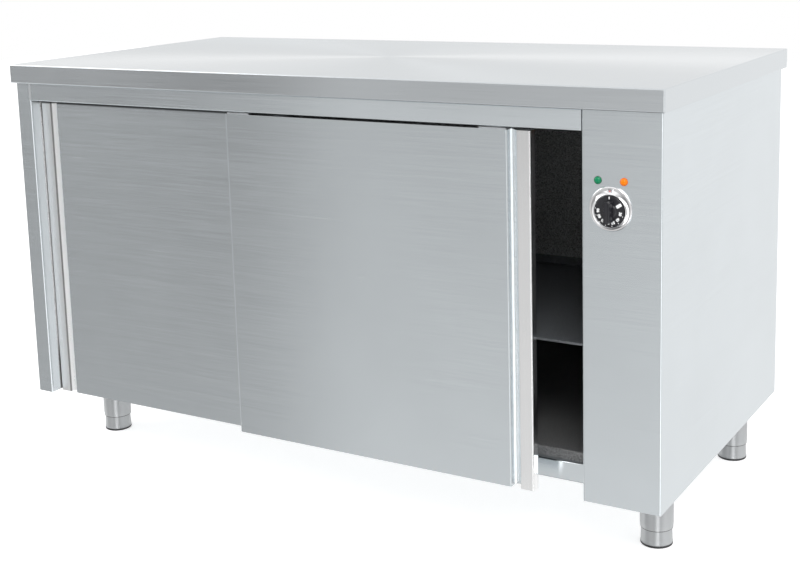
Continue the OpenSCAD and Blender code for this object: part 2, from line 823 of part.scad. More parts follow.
// Curved slot on a circle, open over an angle on each side of the upright
module air_slot(r, width, angle) {
    polygon(concat(
        arc([0, 0], r + width / 2, 90 - angle / 2, 90 + angle / 2, fold_steps),
        arc([0, 0], r - width / 2, 90 + angle / 2, 90 - angle / 2, fold_steps)
    ));
}

// Fan wheel: curved blades between a back plate and a front ring
module fan_blade() {
    inner = wheel_r * 0.78;
    sweep = 10;
    t = 1.2;
    steps = 5;
    curve = [for (i = [0:steps])
        let (r = inner + (wheel_r - 0.5 - inner) * i / steps, a = sweep * pow(i / steps, 2))
        [r * cos(a), r * sin(a)]];
    polygon(concat(curve, [for (i = [steps:-1:0]) curve[i] + t * [-sin(30), cos(30)]]));
}

module fan_wheel() {
    hub_r = 12;
    plate = 1.5;
    color(bright_steel) translate([wheel_x0, fan_y, fan_z]) difference() {
        union() {
            along_x(0, wheel_w) for (i = [0:blade_count - 1])
                rotate(i * 360 / blade_count) fan_blade();
            rod_x(wheel_w - plate, wheel_w, wheel_r);
            difference() {
                rod_x(0, plate, wheel_r);
                rod_x(-cut, plate + cut, wheel_r * 0.8);
            }
            rod_x(wheel_w - 18, wheel_w + 4, hub_r);
        }
        rod_x(wheel_w - 18 - cut, wheel_w + 4 + cut, fan_shaft_r + run_gap / 2);
    }
}

module fan_shaft() {
    color(bright_steel) translate([0, fan_y, fan_z])
        rod_x(wheel_x0 + wheel_w - 18, motor_x0 + stud_l + motor_l + 8, fan_shaft_r);
}

// Thermostat behind the control face, with its sensor tube and bulb
thermostat_s = 36;
thermostat_d = 30;
thermostat_y = control_in_y;
capillary_r = 1.25;
bulb_r = 3.5;
bulb_l = 80;
sensor_z = ceiling_z - 30;
capillary_y = chamber_y0 + 60;

module thermostat() {
    color(black) translate([dial_cx, thermostat_y, dial_z]) difference() {
        union() {
            along_y(2, thermostat_d) rounded_rect(thermostat_s, thermostat_s, 3);
            along_y(0, 2) rounded_rect(thermostat_s + 12, 16, 3);
            rod_y(thermostat_d, thermostat_d + 6, 9);
        }
        rod_y(-cut, thermostat_d - 6, shaft_r + run_gap);
    }
}

// Round tube along a route, with a rounded bend at each inner point
module bent_tube(p, r, bend) {
    last = len(p) - 1;
    way = [for (i = [0:last - 1]) unit(p[i + 1] - p[i])];
    turn = [for (i = [1:last - 1]) acos(way[i - 1] * way[i])];
    trim = [0, for (a = turn) bend * tan(a / 2), 0];
    for (i = [0:last - 1])
        translate(p[i] + way[i] * trim[i]) rotate([0, acos(way[i].z), atan2(way[i].y, way[i].x)])
            cylinder(h = norm(p[i + 1] - p[i]) - trim[i] - trim[i + 1], r = r, $fn = 20);
    for (i = [1:last - 1])
        let (u = way[i - 1], m = unit(way[i] - u * (way[i] * u)), z = cross(-m, u))
        let (c = p[i] - u * trim[i] + m * bend)
            multmatrix([[-m.x, u.x, z.x, c.x], [-m.y, u.y, z.y, c.y], [-m.z, u.z, z.z, c.z]])
                rotate_extrude(angle = turn[i - 1], $fn = 48) translate([bend, 0]) circle(r = r, $fn = 20);
}

module capillary() {
    bulb_x = open_r - bulb_r - 0.3;
    clip_w = 8;
    start = thermostat_y + thermostat_d + 6;
    rise_x = open_r + 24;
    color([0.72, 0.45, 0.3]) {
        bent_tube([
            [dial_cx, start, dial_z], [dial_cx, start + 16, dial_z], [rise_x, start + 16, dial_z],
            [rise_x, start + 16, sensor_z], [rise_x, capillary_y, sensor_z],
            [bulb_x, capillary_y, sensor_z], [bulb_x, capillary_y + 12, sensor_z]
        ], capillary_r, 6);
        translate([bulb_x, 0, sensor_z]) rod_y(capillary_y + 12, capillary_y + 12 + bulb_l, bulb_r);
        // clips that hold the bulb to the partition
        for (y = [capillary_y + 24, capillary_y + bulb_l - 10])
            translate([open_r - 2 * bulb_r - 1.6, y, sensor_z - bulb_r - 1])
                difference() {
                    cube([2 * bulb_r + 1.6, clip_w, 2 * bulb_r + 2]);
                    translate([1, -cut, 0.8]) cube([2 * bulb_r + 2, clip_w + 2 * cut, 2 * bulb_r + 0.4]);
                }
    }
}

// Ring round the dial, wider at the top
module dial_bezel() {
    color(bright_steel) translate([dial_cx, front_y, dial_z]) difference() {
        translate([0, 0, bezel_rise]) rotate([90, 0, 0]) rotate_extrude()
            polygon(concat(
                [[0, 0], [bezel_r, 0], [bezel_r, 1]],
                arc([bezel_r - 3, bezel_t - 2], 2, 20, 90, fold_steps),
                [[0, bezel_t]]
            ));
        rod_y(-bezel_t - cut, cut, dial_r + dial_play);
    }
}

module thermostat_shaft() {
    color(bright_steel) translate([dial_cx, 0, dial_z])
        rod_y(front_y - dial_gap - dial_t - bar_h + 6, thermostat_y + thermostat_d - 8, shaft_r);
}

// Dial with a raised finger bar across it
module dial_knob() {
    face = -dial_gap - dial_t;
    edge = 1.5;
    tip = 2.5;
    color(black) translate([dial_cx, front_y, dial_z]) difference() {
        union() {
            rotate([90, 0, 0]) rotate_extrude() polygon(concat(
                [[0, dial_gap], [dial_r, dial_gap]],
                arc([dial_r - edge, dial_gap + dial_t - edge], edge, 0, 90, fold_steps),
                [[0, dial_gap + dial_t]]
            ));
            intersection() {
                along_x(-bar_w / 2, bar_w / 2) polygon([
                    [face + cut, -bar_l / 2], [face, -bar_l / 2], [face - bar_h + tip, tip - bar_l / 2],
                    [face - bar_h, 3 * tip - bar_l / 2], [face - bar_h, bar_l / 2 - 3 * tip],
                    [face - bar_h + tip, bar_l / 2 - tip], [face, bar_l / 2], [face + cut, bar_l / 2]
                ]);
                along_z(-bar_l / 2, bar_l / 2) polygon([
                    [-bar_w / 2, face + cut], [bar_w / 2, face + cut], [bar_w / 2, face],
                    [bar_face / 2, face - bar_h + edge], [bar_face / 2 - edge, face - bar_h],
                    [edge - bar_face / 2, face - bar_h], [-bar_face / 2, face - bar_h + edge], [-bar_w / 2, face]
                ]);
                rod_y(face - bar_h - cut, face + 2 * cut, bar_l / 2);
            }
        }
        rod_y(face - bar_h + 6, 0, shaft_r);
    }
}

// Pilot lamps: a domed lens on the panel, and its body behind
module lamp_lens(x) {
    rim = 1.2;
    translate([x, front_y, lamp_z]) rotate([90, 0, 0]) rotate_extrude() polygon(concat(
        [[0, -sheet_t], [lamp_r - 1.3, -sheet_t], [lamp_r - 1.3, 0], [lamp_r, 0], [lamp_r, rim]],
        arc([0, rim], lamp_r - 0.4, 0, 90, 12) * [[1, 0], [0, 0.75]]
    ));
}

module green_lens() {
    color([0.02, 0.55, 0.36]) lamp_lens(dial_cx - lamp_pitch / 2);
}

module orange_lens() {
    color([1, 0.5, 0.05]) lamp_lens(dial_cx + lamp_pitch / 2);
}

module lamp_bodies() {
    color(black) for (side = [-1, 1])
        translate([dial_cx + side * lamp_pitch / 2, control_in_y, lamp_z]) {
            rod_y(0, 3, lamp_r + 2);
            rod_y(3, 26, lamp_r - 1);
            for (x = [-3, 3])
                translate([x - 0.4, 26, -3]) cube([0.8, 8, 6]);
        }
}

// Terminal block on its shelf inside the service cover, and the gland below it
block_w = 60;

module terminal_block() {
    ways = 5;
    pitch = block_w / ways;
    rear = back_y - sheet_t - sheet_gap;
    color(nylon) translate([gland_x - block_w / 2, rear - 46, gland_z + 60]) difference() {
        union() {
            cube([block_w, 22, 3]);
            for (i = [0:ways - 1])
                translate([i * pitch + 1, 1, 3]) cube([pitch - 2, 20, 14]);
        }
        for (i = [0:ways - 1])
            translate([(i + 0.5) * pitch, 0, 10]) rod_y(-cut, 22 + cut, 2.5);
    }
    color(bright_steel) along_x(gland_x - block_w / 2 - 4, gland_x + block_w / 2 + 4) folded([
        [rear - 50, gland_z + 60], [rear, gland_z + 60], [rear, gland_z + 40]
    ]);
}

module cable_gland() {
    color(black) translate([gland_x, back_y, gland_z]) difference() {
        union() {
            rod_y(-12, 2, gland_hole_r - 0.2);
            along_y(0, 6) circle(r = 14, $fn = 6);
            rod_y(6, 18, 11.5);
            along_y(-sheet_t - 6, -sheet_t) circle(r = 14, $fn = 6);
        }
        rod_y(-12 - cut, 18 + cut, 5);
    }
}

// Door: a folded outer skin, a flat inner skin and a folded handle at the outer edge.
// Drawn with the inner edge at x = 0 and the face at y = 0.
module door_skin() {
    inner = door_t - skin_t - sheet_gap;
    color(steel) difference() {
        union() {
            along_z(door_z0, door_z1) folded([
                [panel_w, grip_depth - sheet_gap], [panel_w, 0], [0, 0], [0, inner]
            ], skin_t, skin_fold);
            translate([skin_t / 2, skin_t / 2, door_z1 - skin_t]) cube([panel_w - skin_t, inner - skin_t / 2, skin_t]);
            translate([skin_t / 2, skin_t / 2, door_z0]) cube([panel_w - skin_t, door_hem + skin_t / 2, skin_t]);
        }
        hanger_screw_places() translate([0, 0, door_z1 - 2 * skin_t]) cylinder(h = 3 * skin_t, r = screw_hole_r);
        translate([panel_w - skin_t - grip_tuck, grip_depth - sheet_gap, door_z0 - cut])
            cube([grip_tuck + 2 * skin_t, door_t, door_h + 2 * cut]);
    }
}

grip_tuck = 10;

module door_handle() {
    color(bright_steel) along_z(door_z0, door_z1) folded([
        [door_w, door_t - skin_t - sheet_gap], [door_w, 0], [door_w - grip_lip, 0],
        [panel_w + grip_floor, grip_depth], [panel_w - grip_tuck, grip_depth]
    ], skin_t, [skin_fold, grip_bend_r, grip_bend_r]);
}

module door_inner() {
    color(steel) {
        translate([0, door_t - skin_t, door_z0]) cube([door_w, skin_t, door_h]);
        translate([skin_t + sheet_gap, door_t - door_hem - skin_t, door_z0])
            cube([panel_w - grip_tuck - 2 * skin_t - 2 * sheet_gap, door_hem + skin_t, skin_t]);
    }
}

// Hangers: a foot on the door's top, and a web with the rollers' axle
module hanger_screw_places() {
    for (x = hanger_x, side = [-1, 1])
        translate([x + side * (hanger_l / 2 - 6), lane_mid, 0]) children();
}

module door_hangers() {
    foot_w = 14;
    color(bright_steel) {
        for (x = hanger_x)
            translate([x, lane_mid, 0]) difference() {
                union() {
                    translate([-hanger_l / 2, -foot_w / 2, door_z1]) cube([hanger_l, foot_w, hanger_t]);
                    translate([-web_w / 2, -hanger_t / 2, door_z1])
                        cube([web_w, hanger_t, axle_z - door_z1]);
                    translate([0, 0, axle_z]) rod_y(-hanger_t / 2, hanger_t / 2, web_w / 2 - 5);
                    translate([0, 0, axle_z]) rod_y(-axle_half, axle_half, axle_r);
                }
                for (side = [-1, 1])
                    translate([side * (hanger_l / 2 - 6), 0, door_z1 - cut]) cylinder(h = hanger_t + 2 * cut, r = screw_hole_r);
            }
        hanger_screw_places() translate([0, 0, door_z1 + hanger_t]) screw(hanger_t + skin_t + cut);
    }
}

module door_rollers(i) {
    color(nylon) translate([hanger_x[i], lane_mid, axle_z]) for (side = [0, 180])
        rotate([0, 0, side]) difference() {
            rod_y(roller_y0, roller_y0 + roller_w, roller_r);
            rod_y(roller_y0 - cut, roller_y0 + roller_w + cut, axle_r + run_gap);
            for (a = [0:60:300])
                rotate([0, a, 0]) translate([0, 0, (roller_r + axle_r) / 2])
                    rod_y(roller_y0 + 1, roller_y0 + roller_w + cut, 1.4);
        }
}

module as_right_door() {
    translate([right_x, front_face_y, 0]) children();
}

module as_left_door() {
    translate([left_x + door_w, rear_face_y, 0]) mirror([1, 0, 0]) children();
}

// Feet: a fixed leg with a nut in it, and a foot that winds out of the leg
collar_flange_r = 44;
collar_flange_t = 2.5;
collar_bottom = foot_show;

module collar_screw_places() {
    for (x = [-foot_x, foot_x], y = [foot_y0, foot_y1], a = [45:90:315])
        translate([x, y, 0]) rotate(a) translate([(collar_r + collar_flange_r) / 2, 0, 0]) children();
}

module at_foot(side, rear) {
    translate([side * foot_x, rear ? foot_y1 : foot_y0, 0]) children();
}

module collar() {
    mouth_r = foot_top_r + 0.3;
    taper = 8;
    r0 = mouth_r + collar_t;
    color(bright_steel) difference() {
        rotate_extrude() polygon([
            [mouth_r, collar_bottom], [r0, collar_bottom], [collar_r, collar_bottom + taper],
            [collar_r, leg_h - collar_flange_t], [collar_flange_r, leg_h - collar_flange_t],
            [collar_flange_r, leg_h], [collar_r - collar_t, leg_h], [collar_r - collar_t, nut_z0 + nut_h],
            [spindle_r + run_gap, nut_z0 + nut_h], [spindle_r + run_gap, nut_z0],
            [collar_r - collar_t, nut_z0], [collar_r - collar_t, collar_bottom + taper]
        ]);
        for (a = [45:90:315])
            rotate(a) translate([(collar_r + collar_flange_r) / 2, 0, leg_h - collar_flange_t - cut])
                cylinder(h = collar_flange_t + 2 * cut, r = screw_hole_r);
    }
}

module foot() {
    wall = 2;
    floor_top = sole_t + 3;
    sleeve_top = nut_z0 - 3;
    color(bright_steel) rotate_extrude() polygon([
        [0, sole_t], [foot_base_r, sole_t], [foot_base_r + 0.5, sole_t + 1.5], [foot_base_r, sole_t + 3],
        [foot_top_r, foot_show - 1], [foot_top_r, sleeve_top], [foot_top_r - wall, sleeve_top],
        [foot_top_r - wall, floor_top], [spindle_r, floor_top],
        [spindle_r, leg_h - 4], [spindle_r - 1, leg_h - 3], [0, leg_h - 3]
    ]);
}

module sole() {
    r = foot_base_r + 0.5;
    color(black) rotate_extrude() polygon(concat(
        [[0, 0]], arc([r - 1.5, 1.5], 1.5, -90, 0, fold_steps), [[r, sole_t], [0, sole_t]]
    ));
}

worktop();
worktop_stiffeners();
left_side_panel();
right_side_panel();
header_rail();
upper_track();
track_buffers();
base_tray();
chamber_floor();
left_liner();
back_liner();
partition();
chamber_ceiling();
back_panel();
service_cover();
shelf();
shelf_rails();
guide_bracket();
guide_blocks();
body_screws();
heater_housing();
heating_element();
fan_motor();
intake_grille();
fan_shaft();
fan_wheel();
thermostat();
capillary();
dial_bezel();
thermostat_shaft();
dial_knob();
green_lens();
orange_lens();
lamp_bodies();
terminal_block();
cable_gland();
as_right_door() door_skin();  // right_door_skin
as_right_door() door_inner();  // right_door_inner
as_right_door() door_handle();  // right_door_handle
as_right_door() door_hangers();  // right_door_hangers
as_right_door() door_rollers(0);  // right_rollers_inner
as_right_door() door_rollers(1);  // right_rollers_outer
as_left_door() door_skin();  // left_door_skin
as_left_door() door_inner();  // left_door_inner
as_left_door() door_handle();  // left_door_handle
as_left_door() door_hangers();  // left_door_hangers
as_left_door() door_rollers(0);  // left_rollers_inner
as_left_door() door_rollers(1);  // left_rollers_outer
at_foot(-1, false) collar();  // front_left_collar
at_foot(1, false) collar();  // front_right_collar
at_foot(-1, true) collar();  // rear_left_collar
at_foot(1, true) collar();  // rear_right_collar
at_foot(-1, false) foot();  // front_left_foot
at_foot(1, false) foot();  // front_right_foot
at_foot(-1, true) foot();  // rear_left_foot
at_foot(1, true) foot();  // rear_right_foot
at_foot(-1, false) sole();  // front_left_sole
at_foot(1, false) sole();  // front_right_sole
at_foot(-1, true) sole();  // rear_left_sole
at_foot(1, true) sole();  // rear_right_sole
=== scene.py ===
"""Finishes, small parts, lights and camera for the heated plate cupboard, laid out as an add-on."""
import json
import math

import bmesh
import bpy
from bpy.props import FloatProperty, FloatVectorProperty, IntProperty, PointerProperty
from bpy.types import Operator, Panel, PropertyGroup
from mathutils import Matrix, Vector


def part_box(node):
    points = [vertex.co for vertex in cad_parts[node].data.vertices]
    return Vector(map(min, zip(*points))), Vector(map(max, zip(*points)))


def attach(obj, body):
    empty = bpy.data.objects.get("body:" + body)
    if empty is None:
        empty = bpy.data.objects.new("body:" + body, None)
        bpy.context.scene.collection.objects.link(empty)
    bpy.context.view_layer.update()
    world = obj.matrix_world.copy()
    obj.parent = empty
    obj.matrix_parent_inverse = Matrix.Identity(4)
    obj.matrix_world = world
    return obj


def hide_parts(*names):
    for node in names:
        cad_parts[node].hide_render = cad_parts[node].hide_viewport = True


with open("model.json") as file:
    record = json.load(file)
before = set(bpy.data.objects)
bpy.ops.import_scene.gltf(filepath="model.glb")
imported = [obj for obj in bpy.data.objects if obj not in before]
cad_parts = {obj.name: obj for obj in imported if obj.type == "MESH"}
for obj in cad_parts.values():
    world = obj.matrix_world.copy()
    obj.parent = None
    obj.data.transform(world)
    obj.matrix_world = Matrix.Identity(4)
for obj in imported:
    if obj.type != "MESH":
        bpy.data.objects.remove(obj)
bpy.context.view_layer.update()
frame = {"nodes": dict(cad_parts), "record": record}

bl_info = {
    "name": "Heated plate cupboard",
    "version": (1, 0, 0),
    "blender": (4, 5, 0),
    "location": "3D View > Sidebar > Cupboard",
    "description": "Finishes, small parts and a studio for the packed plate cupboard",
    "category": "Object",
}

MM = 0.001


# Places that the frame gives

def middle(node):
    low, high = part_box(node)
    return (low + high) / 2


CHAMBER_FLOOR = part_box("chamber_floor")[1].z
DOOR_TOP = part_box("left_door_skin")[1].z
GRIP_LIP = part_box("left_door_handle")[0].y
RAIL_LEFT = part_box("header_rail")[0].x
DIAL_LOW, DIAL_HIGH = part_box("dial_knob")
DIAL_R = (DIAL_HIGH.x - DIAL_LOW.x) / 2
CAP_R = DIAL_R - 1.6 * MM
CAP_DISC = 6 * MM
PRINT_FIELD = CAP_DISC - 0.25 * MM
PRINT_H = 0.08 * MM
FONT_PER_FIGURE = 1.35
DIAL_X, DIAL_Z = middle("dial_knob").x, middle("dial_knob").z


# Settings

def a_color(name, description, default):
    return FloatVectorProperty(name=name, description=description, subtype="COLOR", size=3, min=0, max=1,
                               default=default)


def a_share(name, description, default):
    return FloatProperty(name=name, description=description, subtype="FACTOR", min=0, max=1, default=default)


def a_length(name, description, default):
    return FloatProperty(name=name, description=description, unit="LENGTH", min=0, default=default)


class SteelSettings(PropertyGroup):
    top_color: a_color("Worktop", "Steel of the worktop", (0.675, 0.708, 0.73))
    body_color: a_color("Body", "Steel of the body and the doors", (0.69, 0.733, 0.758))
    bright_color: a_color("Shelf rails", "Steel of the shelf rails", (0.8, 0.825, 0.835))
    # The grips' colours are their brushed steel set near white: painted light for the bright sheen in their grooves,
    # the right grip the lighter of the two
    left_grip_color_and_sheen: a_color("Left grip", "Steel of the left door's grip", (0.94, 0.945, 0.95))
    right_grip_color_and_sheen: a_color("Right grip", "Steel of the right door's grip", (0.97, 0.975, 0.98))
    foot_color: a_color("Feet", "Steel of the legs and feet", (0.53, 0.545, 0.555))
    chamber_color: a_color("Chamber", "Dull steel of the heated chamber", (0.65, 0.69, 0.74))
    roughness: a_share("Roughness", "Roughness of the brushed sheets", 0.23)
    grain: a_length("Grain", "Depth of the brushed grain", 0.00003)
    mottle: a_share("Mottling", "How much the tone of a sheet wanders", 0.05)


class DialSettings(PropertyGroup):
    print_color: a_color("Print", "Colour of the figures", (0.97, 0.98, 1.0))
    pointer_color: a_color("Pointer", "Colour of the pointer on the ring", (0.62, 0.03, 0.03))
    figure_h: a_length("Figure height", "Height of the dial's figures", 0.0047)
    figure_at: a_share("Figure circle", "Circle of the figures as a share of the dial", 0.69)
    edge_r: a_length("Edge", "Rounding of the dial's edges", 0.0011)


class FittingSettings(PropertyGroup):
    recess_depth: a_length("Recess depth", "Depth of the cross in a screw's head", 0.0011)
    gland_ribs: IntProperty(name="Gland ribs", description="Ribs round the cable gland's nut",
                            min=6, max=36, default=18)


class StageSettings(PropertyGroup):
    camera_place: FloatVectorProperty(name="Camera", description="Where the camera stands", subtype="TRANSLATION",
                                      unit="LENGTH", size=3, default=(1.3995, -2.3108, 1.0745))
    camera_turn: FloatVectorProperty(name="Camera turn", description="How the camera is turned", subtype="EULER",
                                     size=3, default=(1.39829, 0.02733, 0.53452))
    lens: FloatProperty(name="Lens", description="Focal length in millimetres on a 36 mm sensor", default=60.715)
    shift: FloatProperty(name="Shift", description="Vertical shift of the lens", default=-0.1531)
    floor_color: a_color("Floor", "Colour of the floor", (0.8, 0.8, 0.8))
    floor_glow: FloatProperty(name="Floor glow", description="Light that the floor adds where it is seen",
                              default=0.62)
    key_power: FloatProperty(name="Key lamp", description="Power of the key lamp", unit="POWER", default=55)
    fill_power: FloatProperty(name="Fill lamp", description="Power of the fill lamp", unit="POWER", default=22)


# Working in edit mode

def deselect():
    bpy.ops.object.select_all(action="DESELECT")


def choose(*objects):
    deselect()
    for item in objects:
        item.select_set(True)
    bpy.context.view_layer.objects.active = objects[-1]


def named(name):
    item = bpy.context.active_object
    item.name = item.data.name = name
    return item


def settle(item):
    choose(item)
    bpy.ops.object.transform_apply(location=True, rotation=True, scale=True)


def edit(item, kind="FACE"):
    choose(item)
    bpy.ops.object.mode_set(mode="EDIT")
    bpy.ops.mesh.select_mode(type=kind)


def done():
    bpy.ops.object.mode_set(mode="OBJECT")


def faced_outward():
    """Turn every face outward and leave edit mode."""
    bpy.ops.mesh.select_all(action="SELECT")
    bpy.ops.mesh.normals_make_consistent(inside=False)
    done()


def pick(item, kind, test):
    bpy.ops.mesh.select_mode(type=kind)
    bpy.ops.mesh.select_all(action="DESELECT")
    shape = bmesh.from_edit_mesh(item.data)
    shape.normal_update()
    found = [part for part in (shape.faces if kind == "FACE" else shape.edges) if test(part)]
    if not found:
        done()
        raise RuntimeError(f"nothing to shape on {item.name}")
    for part in found:
        part.select_set(True)
    shape.select_flush_mode()
    bmesh.update_edit_mesh(item.data)


def faces_front(face):
    return face.normal.y < -0.9


def y_run(edge):
    return abs(edge.verts[0].co.y - edge.verts[1].co.y)


def block(name, centre, size):
    """A box with its centre and its size along X, Y and Z."""
    deselect()
    bpy.ops.mesh.primitive_cube_add(size=1, location=centre, scale=size)
    item = named(name)
    settle(item)
    return item


def turned(name, centre, rings, steps=64, closed=False):
    """A round piece about an axis along Y: rings are (radius, distance in front of centre, drop below it)."""
    centre = Vector(centre)
    rings = [(*ring, 0)[:3] for ring in rings]
    r, d, drop = rings[0]
    deselect()
    bpy.ops.mesh.primitive_circle_add(vertices=steps, radius=r, fill_type="NOTHING",
                                      location=centre - Vector((0, d, 0)), rotation=(math.pi / 2, 0, 0))
    item = named(name)
    settle(item)
    edit(item, "EDGE")
    bpy.ops.mesh.select_all(action="SELECT")
    for next_r, next_d, next_drop in rings[1:]:
        bpy.ops.mesh.extrude_edges_move(TRANSFORM_OT_translate={"value": (0, d - next_d, drop - next_drop)})
        if next_r != r:
            bpy.ops.transform.resize(value=(next_r / r, 1, next_r / r),
                                     center_override=centre - Vector((0, 0, next_drop)))
        r, d, drop = next_r, next_d, next_drop
    if closed:
        pick(item, "EDGE", lambda e: e.is_boundary)
        bpy.ops.mesh.bridge_edge_loops()
    else:
        for at in (rings[0][1], rings[-1][1]):
            y = centre.y - at
            pick(item, "EDGE", lambda e: e.is_boundary and all(abs(v.co.y - y) < 1e-6 for v in e.verts))
            bpy.ops.mesh.edge_face_add()
    faced_outward()
    return item


def smoothed(item, angle=35):
    choose(item)
    bpy.ops.object.shade_smooth_by_angle(angle=math.radians(angle))


def joined(name, *items):
    choose(*items)
    bpy.ops.object.join()
    return named(name)


def placed(item, matrix):
    """A copy of item with its own mesh, carried to its place."""
    copy = item.copy()
    copy.data = item.data.copy()
    copy.data.transform(matrix)
    bpy.context.scene.collection.objects.link(copy)
    return copy


def removed(*items):
    for item in items:
        bpy.data.objects.remove(item)


def finished(item, body, slot, finish=None):
    """Give a piece its body and its material: the named finish, or with no finish named, the frame's plain material
    for its slot.
    """
    item.data.materials.clear()
    item.data.materials.append(FINISHES[finish] if finish else bpy.data.materials[slot])
    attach(item, body)


# Finishes

# Kept by name here, because the frame's plain materials already have the slots' names in Blender
FINISHES = {}


def feed(tree, socket, value):
    """Set a socket to a number, or link it to another socket."""
    if isinstance(value, (int, float)):
        socket.default_value = value
    else:
        tree.links.new(value, socket)


def emptied(owner):
    """The node tree of a material or world, with nothing in it."""
    owner.use_nodes = True
    owner.node_tree.nodes.clear()
    return owner.node_tree


def add(tree, kind, at, settings=None, **values):
    node = tree.nodes.new(kind)
    node.location = at
    for key, value in (settings or {}).items():
        setattr(node, key, value)
    for key, value in values.items():
        node.inputs[key.replace("_", " ")].default_value = value
    return node


def new_group(name, inputs, outputs):
    tree = bpy.data.node_groups.new(name, "ShaderNodeTree")
    for label, kind, value in inputs:
        socket = tree.interface.new_socket(label, in_out="INPUT", socket_type=kind)
        socket.default_value = value
    for label in outputs:
        tree.interface.new_socket(label, in_out="OUTPUT", socket_type="NodeSocketFloat")
    return tree, tree.nodes.new("NodeGroupInput"), tree.nodes.new("NodeGroupOutput")


def ranged(tree, value, at, settings=None, **limits):
    """A value carried from one range to another, with limits such as From_Min and To_Max."""
    node = add(tree, "ShaderNodeMapRange", at, settings, **limits)
    tree.links.new(value, node.inputs["Value"])
    return node.outputs["Result"]


def reckoned(tree, operation, at, *values):
    """The result of a math node, with each value a number or a socket."""
    node = add(tree, "ShaderNodeMath", at, {"operation": operation})
    for socket, value in zip(node.inputs, values):
        feed(tree, socket, value)
    return node.outputs[0]


def blended(tree, factor, first, second, at):
    """A number that runs from first to second as the factor runs from 0 to 1."""
    node = add(tree, "ShaderNodeMix", at, {"data_type": "FLOAT"})
    for label, value in (("Factor", factor), ("A", first), ("B", second)):
        feed(tree, node.inputs[label], value)
    return node.outputs["Result"]


def multiplied(tree, first, second, at):
    """The product of two colours."""
    mix = add(tree, "ShaderNodeMix", at, {"data_type": "RGBA", "blend_type": "MULTIPLY"})
    mix.inputs[0].default_value = 1
    tree.links.new(first, mix.inputs[6])
    tree.links.new(second, mix.inputs[7])
    return mix.outputs[2]


def build_brushed_grain():
    """Long thin scratches: stretch is how fast the pattern runs along each direction."""
    tree, given, out = new_group("brushed_grain", [("Stretch", "NodeSocketVector", (4, 4, 600))], ["Tone", "Height"])
    link = tree.links.new
    place = add(tree, "ShaderNodeTexCoord", (-900, 0))
    run = add(tree, "ShaderNodeVectorMath", (-700, 0), {"operation": "MULTIPLY"})
    link(place.outputs["Object"], run.inputs[0])
    link(given.outputs["Stretch"], run.inputs[1])
    long_lines = add(tree, "ShaderNodeTexNoise", (-480, 120), Scale=1, Detail=3, Roughness=0.55)
    short_lines = add(tree, "ShaderNodeTexNoise", (-480, -120), Scale=2.7, Detail=5)
    for lines in (long_lines, short_lines):
        link(run.outputs[0], lines.inputs["Vector"])
    both = blended(tree, 0.45, long_lines.outputs["Fac"], short_lines.outputs["Fac"], (-240, 0))
    link(ranged(tree, both, (-20, 60), From_Min=0.3, From_Max=0.7), out.inputs["Tone"])
    link(both, out.inputs["Height"])


def build_sheet_mottle():
    """Soft clouds where a rolled sheet reflects a little more or less, and smears from wiping."""
    tree, given, out = new_group("sheet_mottle", [("Size", "NodeSocketFloat", 5.0), ("Wipe", "NodeSocketFloat", 0.1)],
                                 ["Tone", "Smear"])
    link = tree.links.new
    place = add(tree, "ShaderNodeTexCoord", (-900, 0))
    clouds = add(tree, "ShaderNodeTexNoise", (-500, 140), Detail=6, Roughness=0.62)
    link(given.outputs["Size"], clouds.inputs["Scale"])
    link(place.outputs["Object"], clouds.inputs["Vector"])
    swing = add(tree, "ShaderNodeMapping", (-720, -160), Rotation=(0.2, 0.35, 0.5), Scale=(2.2, 2.2, 9))
    link(place.outputs["Object"], swing.inputs["Vector"])
    smears = add(tree, "ShaderNodeTexNoise", (-500, -160), Scale=1.5, Detail=3, Distortion=0.8)
    link(swing.outputs["Vector"], smears.inputs["Vector"])
    cut = ranged(tree, smears.outputs["Fac"], (-280, -160), {"interpolation_type": "SMOOTHSTEP"},
                 From_Min=0.5, From_Max=0.75)
    link(clouds.outputs["Fac"], out.inputs["Tone"])
    link(reckoned(tree, "MULTIPLY", (-80, -160), cut, given.outputs["Wipe"]), out.inputs["Smear"])


def build_fine_speckle():
    """Small grains, as on moulded plastic, rubber, cast metal or a dull sheet."""
    tree, given, out = new_group("fine_speckle", [("Size", "NodeSocketFloat", 900.0)], ["Tone", "Height"])
    link = tree.links.new
    place = add(tree, "ShaderNodeTexCoord", (-700, 0))
    grains = add(tree, "ShaderNodeTexNoise", (-480, 0), Detail=4, Roughness=0.6)
    link(given.outputs["Size"], grains.inputs["Scale"])
    link(place.outputs["Object"], grains.inputs["Vector"])
    link(ranged(tree, grains.outputs["Fac"], (-220, 0), From_Min=0.3, From_Max=0.7), out.inputs["Tone"])
    link(grains.outputs["Fac"], out.inputs["Height"])


def shades(color, spread):
    """A darker and a lighter tone of a colour."""
    return [tuple(min(1, c * (1 + k * spread)) for c in color) + (1,) for k in (-1, 1)]


def blank(name, **values):
    """A material under its name in FINISHES, with a shader and nothing else."""
    material = FINISHES[name] = bpy.data.materials.new(name)
    tree = emptied(material)
    out = add(tree, "ShaderNodeOutputMaterial", (300, 0))
    surface = add(tree, "ShaderNodeBsdfPrincipled", (0, 0), **values)
    tree.links.new(surface.outputs["BSDF"], out.inputs["Surface"])
    return material, tree, surface


def placed_group(tree, group, at, **values):
    node = tree.nodes.new("ShaderNodeGroup")
    node.node_tree = bpy.data.node_groups[group]
    node.location = at
    for key, value in values.items():
        node.inputs[key].default_value = value
    return node


def tone_mix(tree, factor, dark, light, at):
    mix = add(tree, "ShaderNodeMix", at, {"data_type": "RGBA"})
    mix.inputs[6].default_value, mix.inputs[7].default_value = dark, light
    tree.links.new(factor, mix.inputs[0])
    return mix.outputs[2]


def bump_from(tree, height, depth, surface, at):
    bump = add(tree, "ShaderNodeBump", at, Strength=1, Distance=depth)
    tree.links.new(height, bump.inputs["Height"])
    tree.links.new(bump.outputs["Normal"], surface.inputs["Normal"])


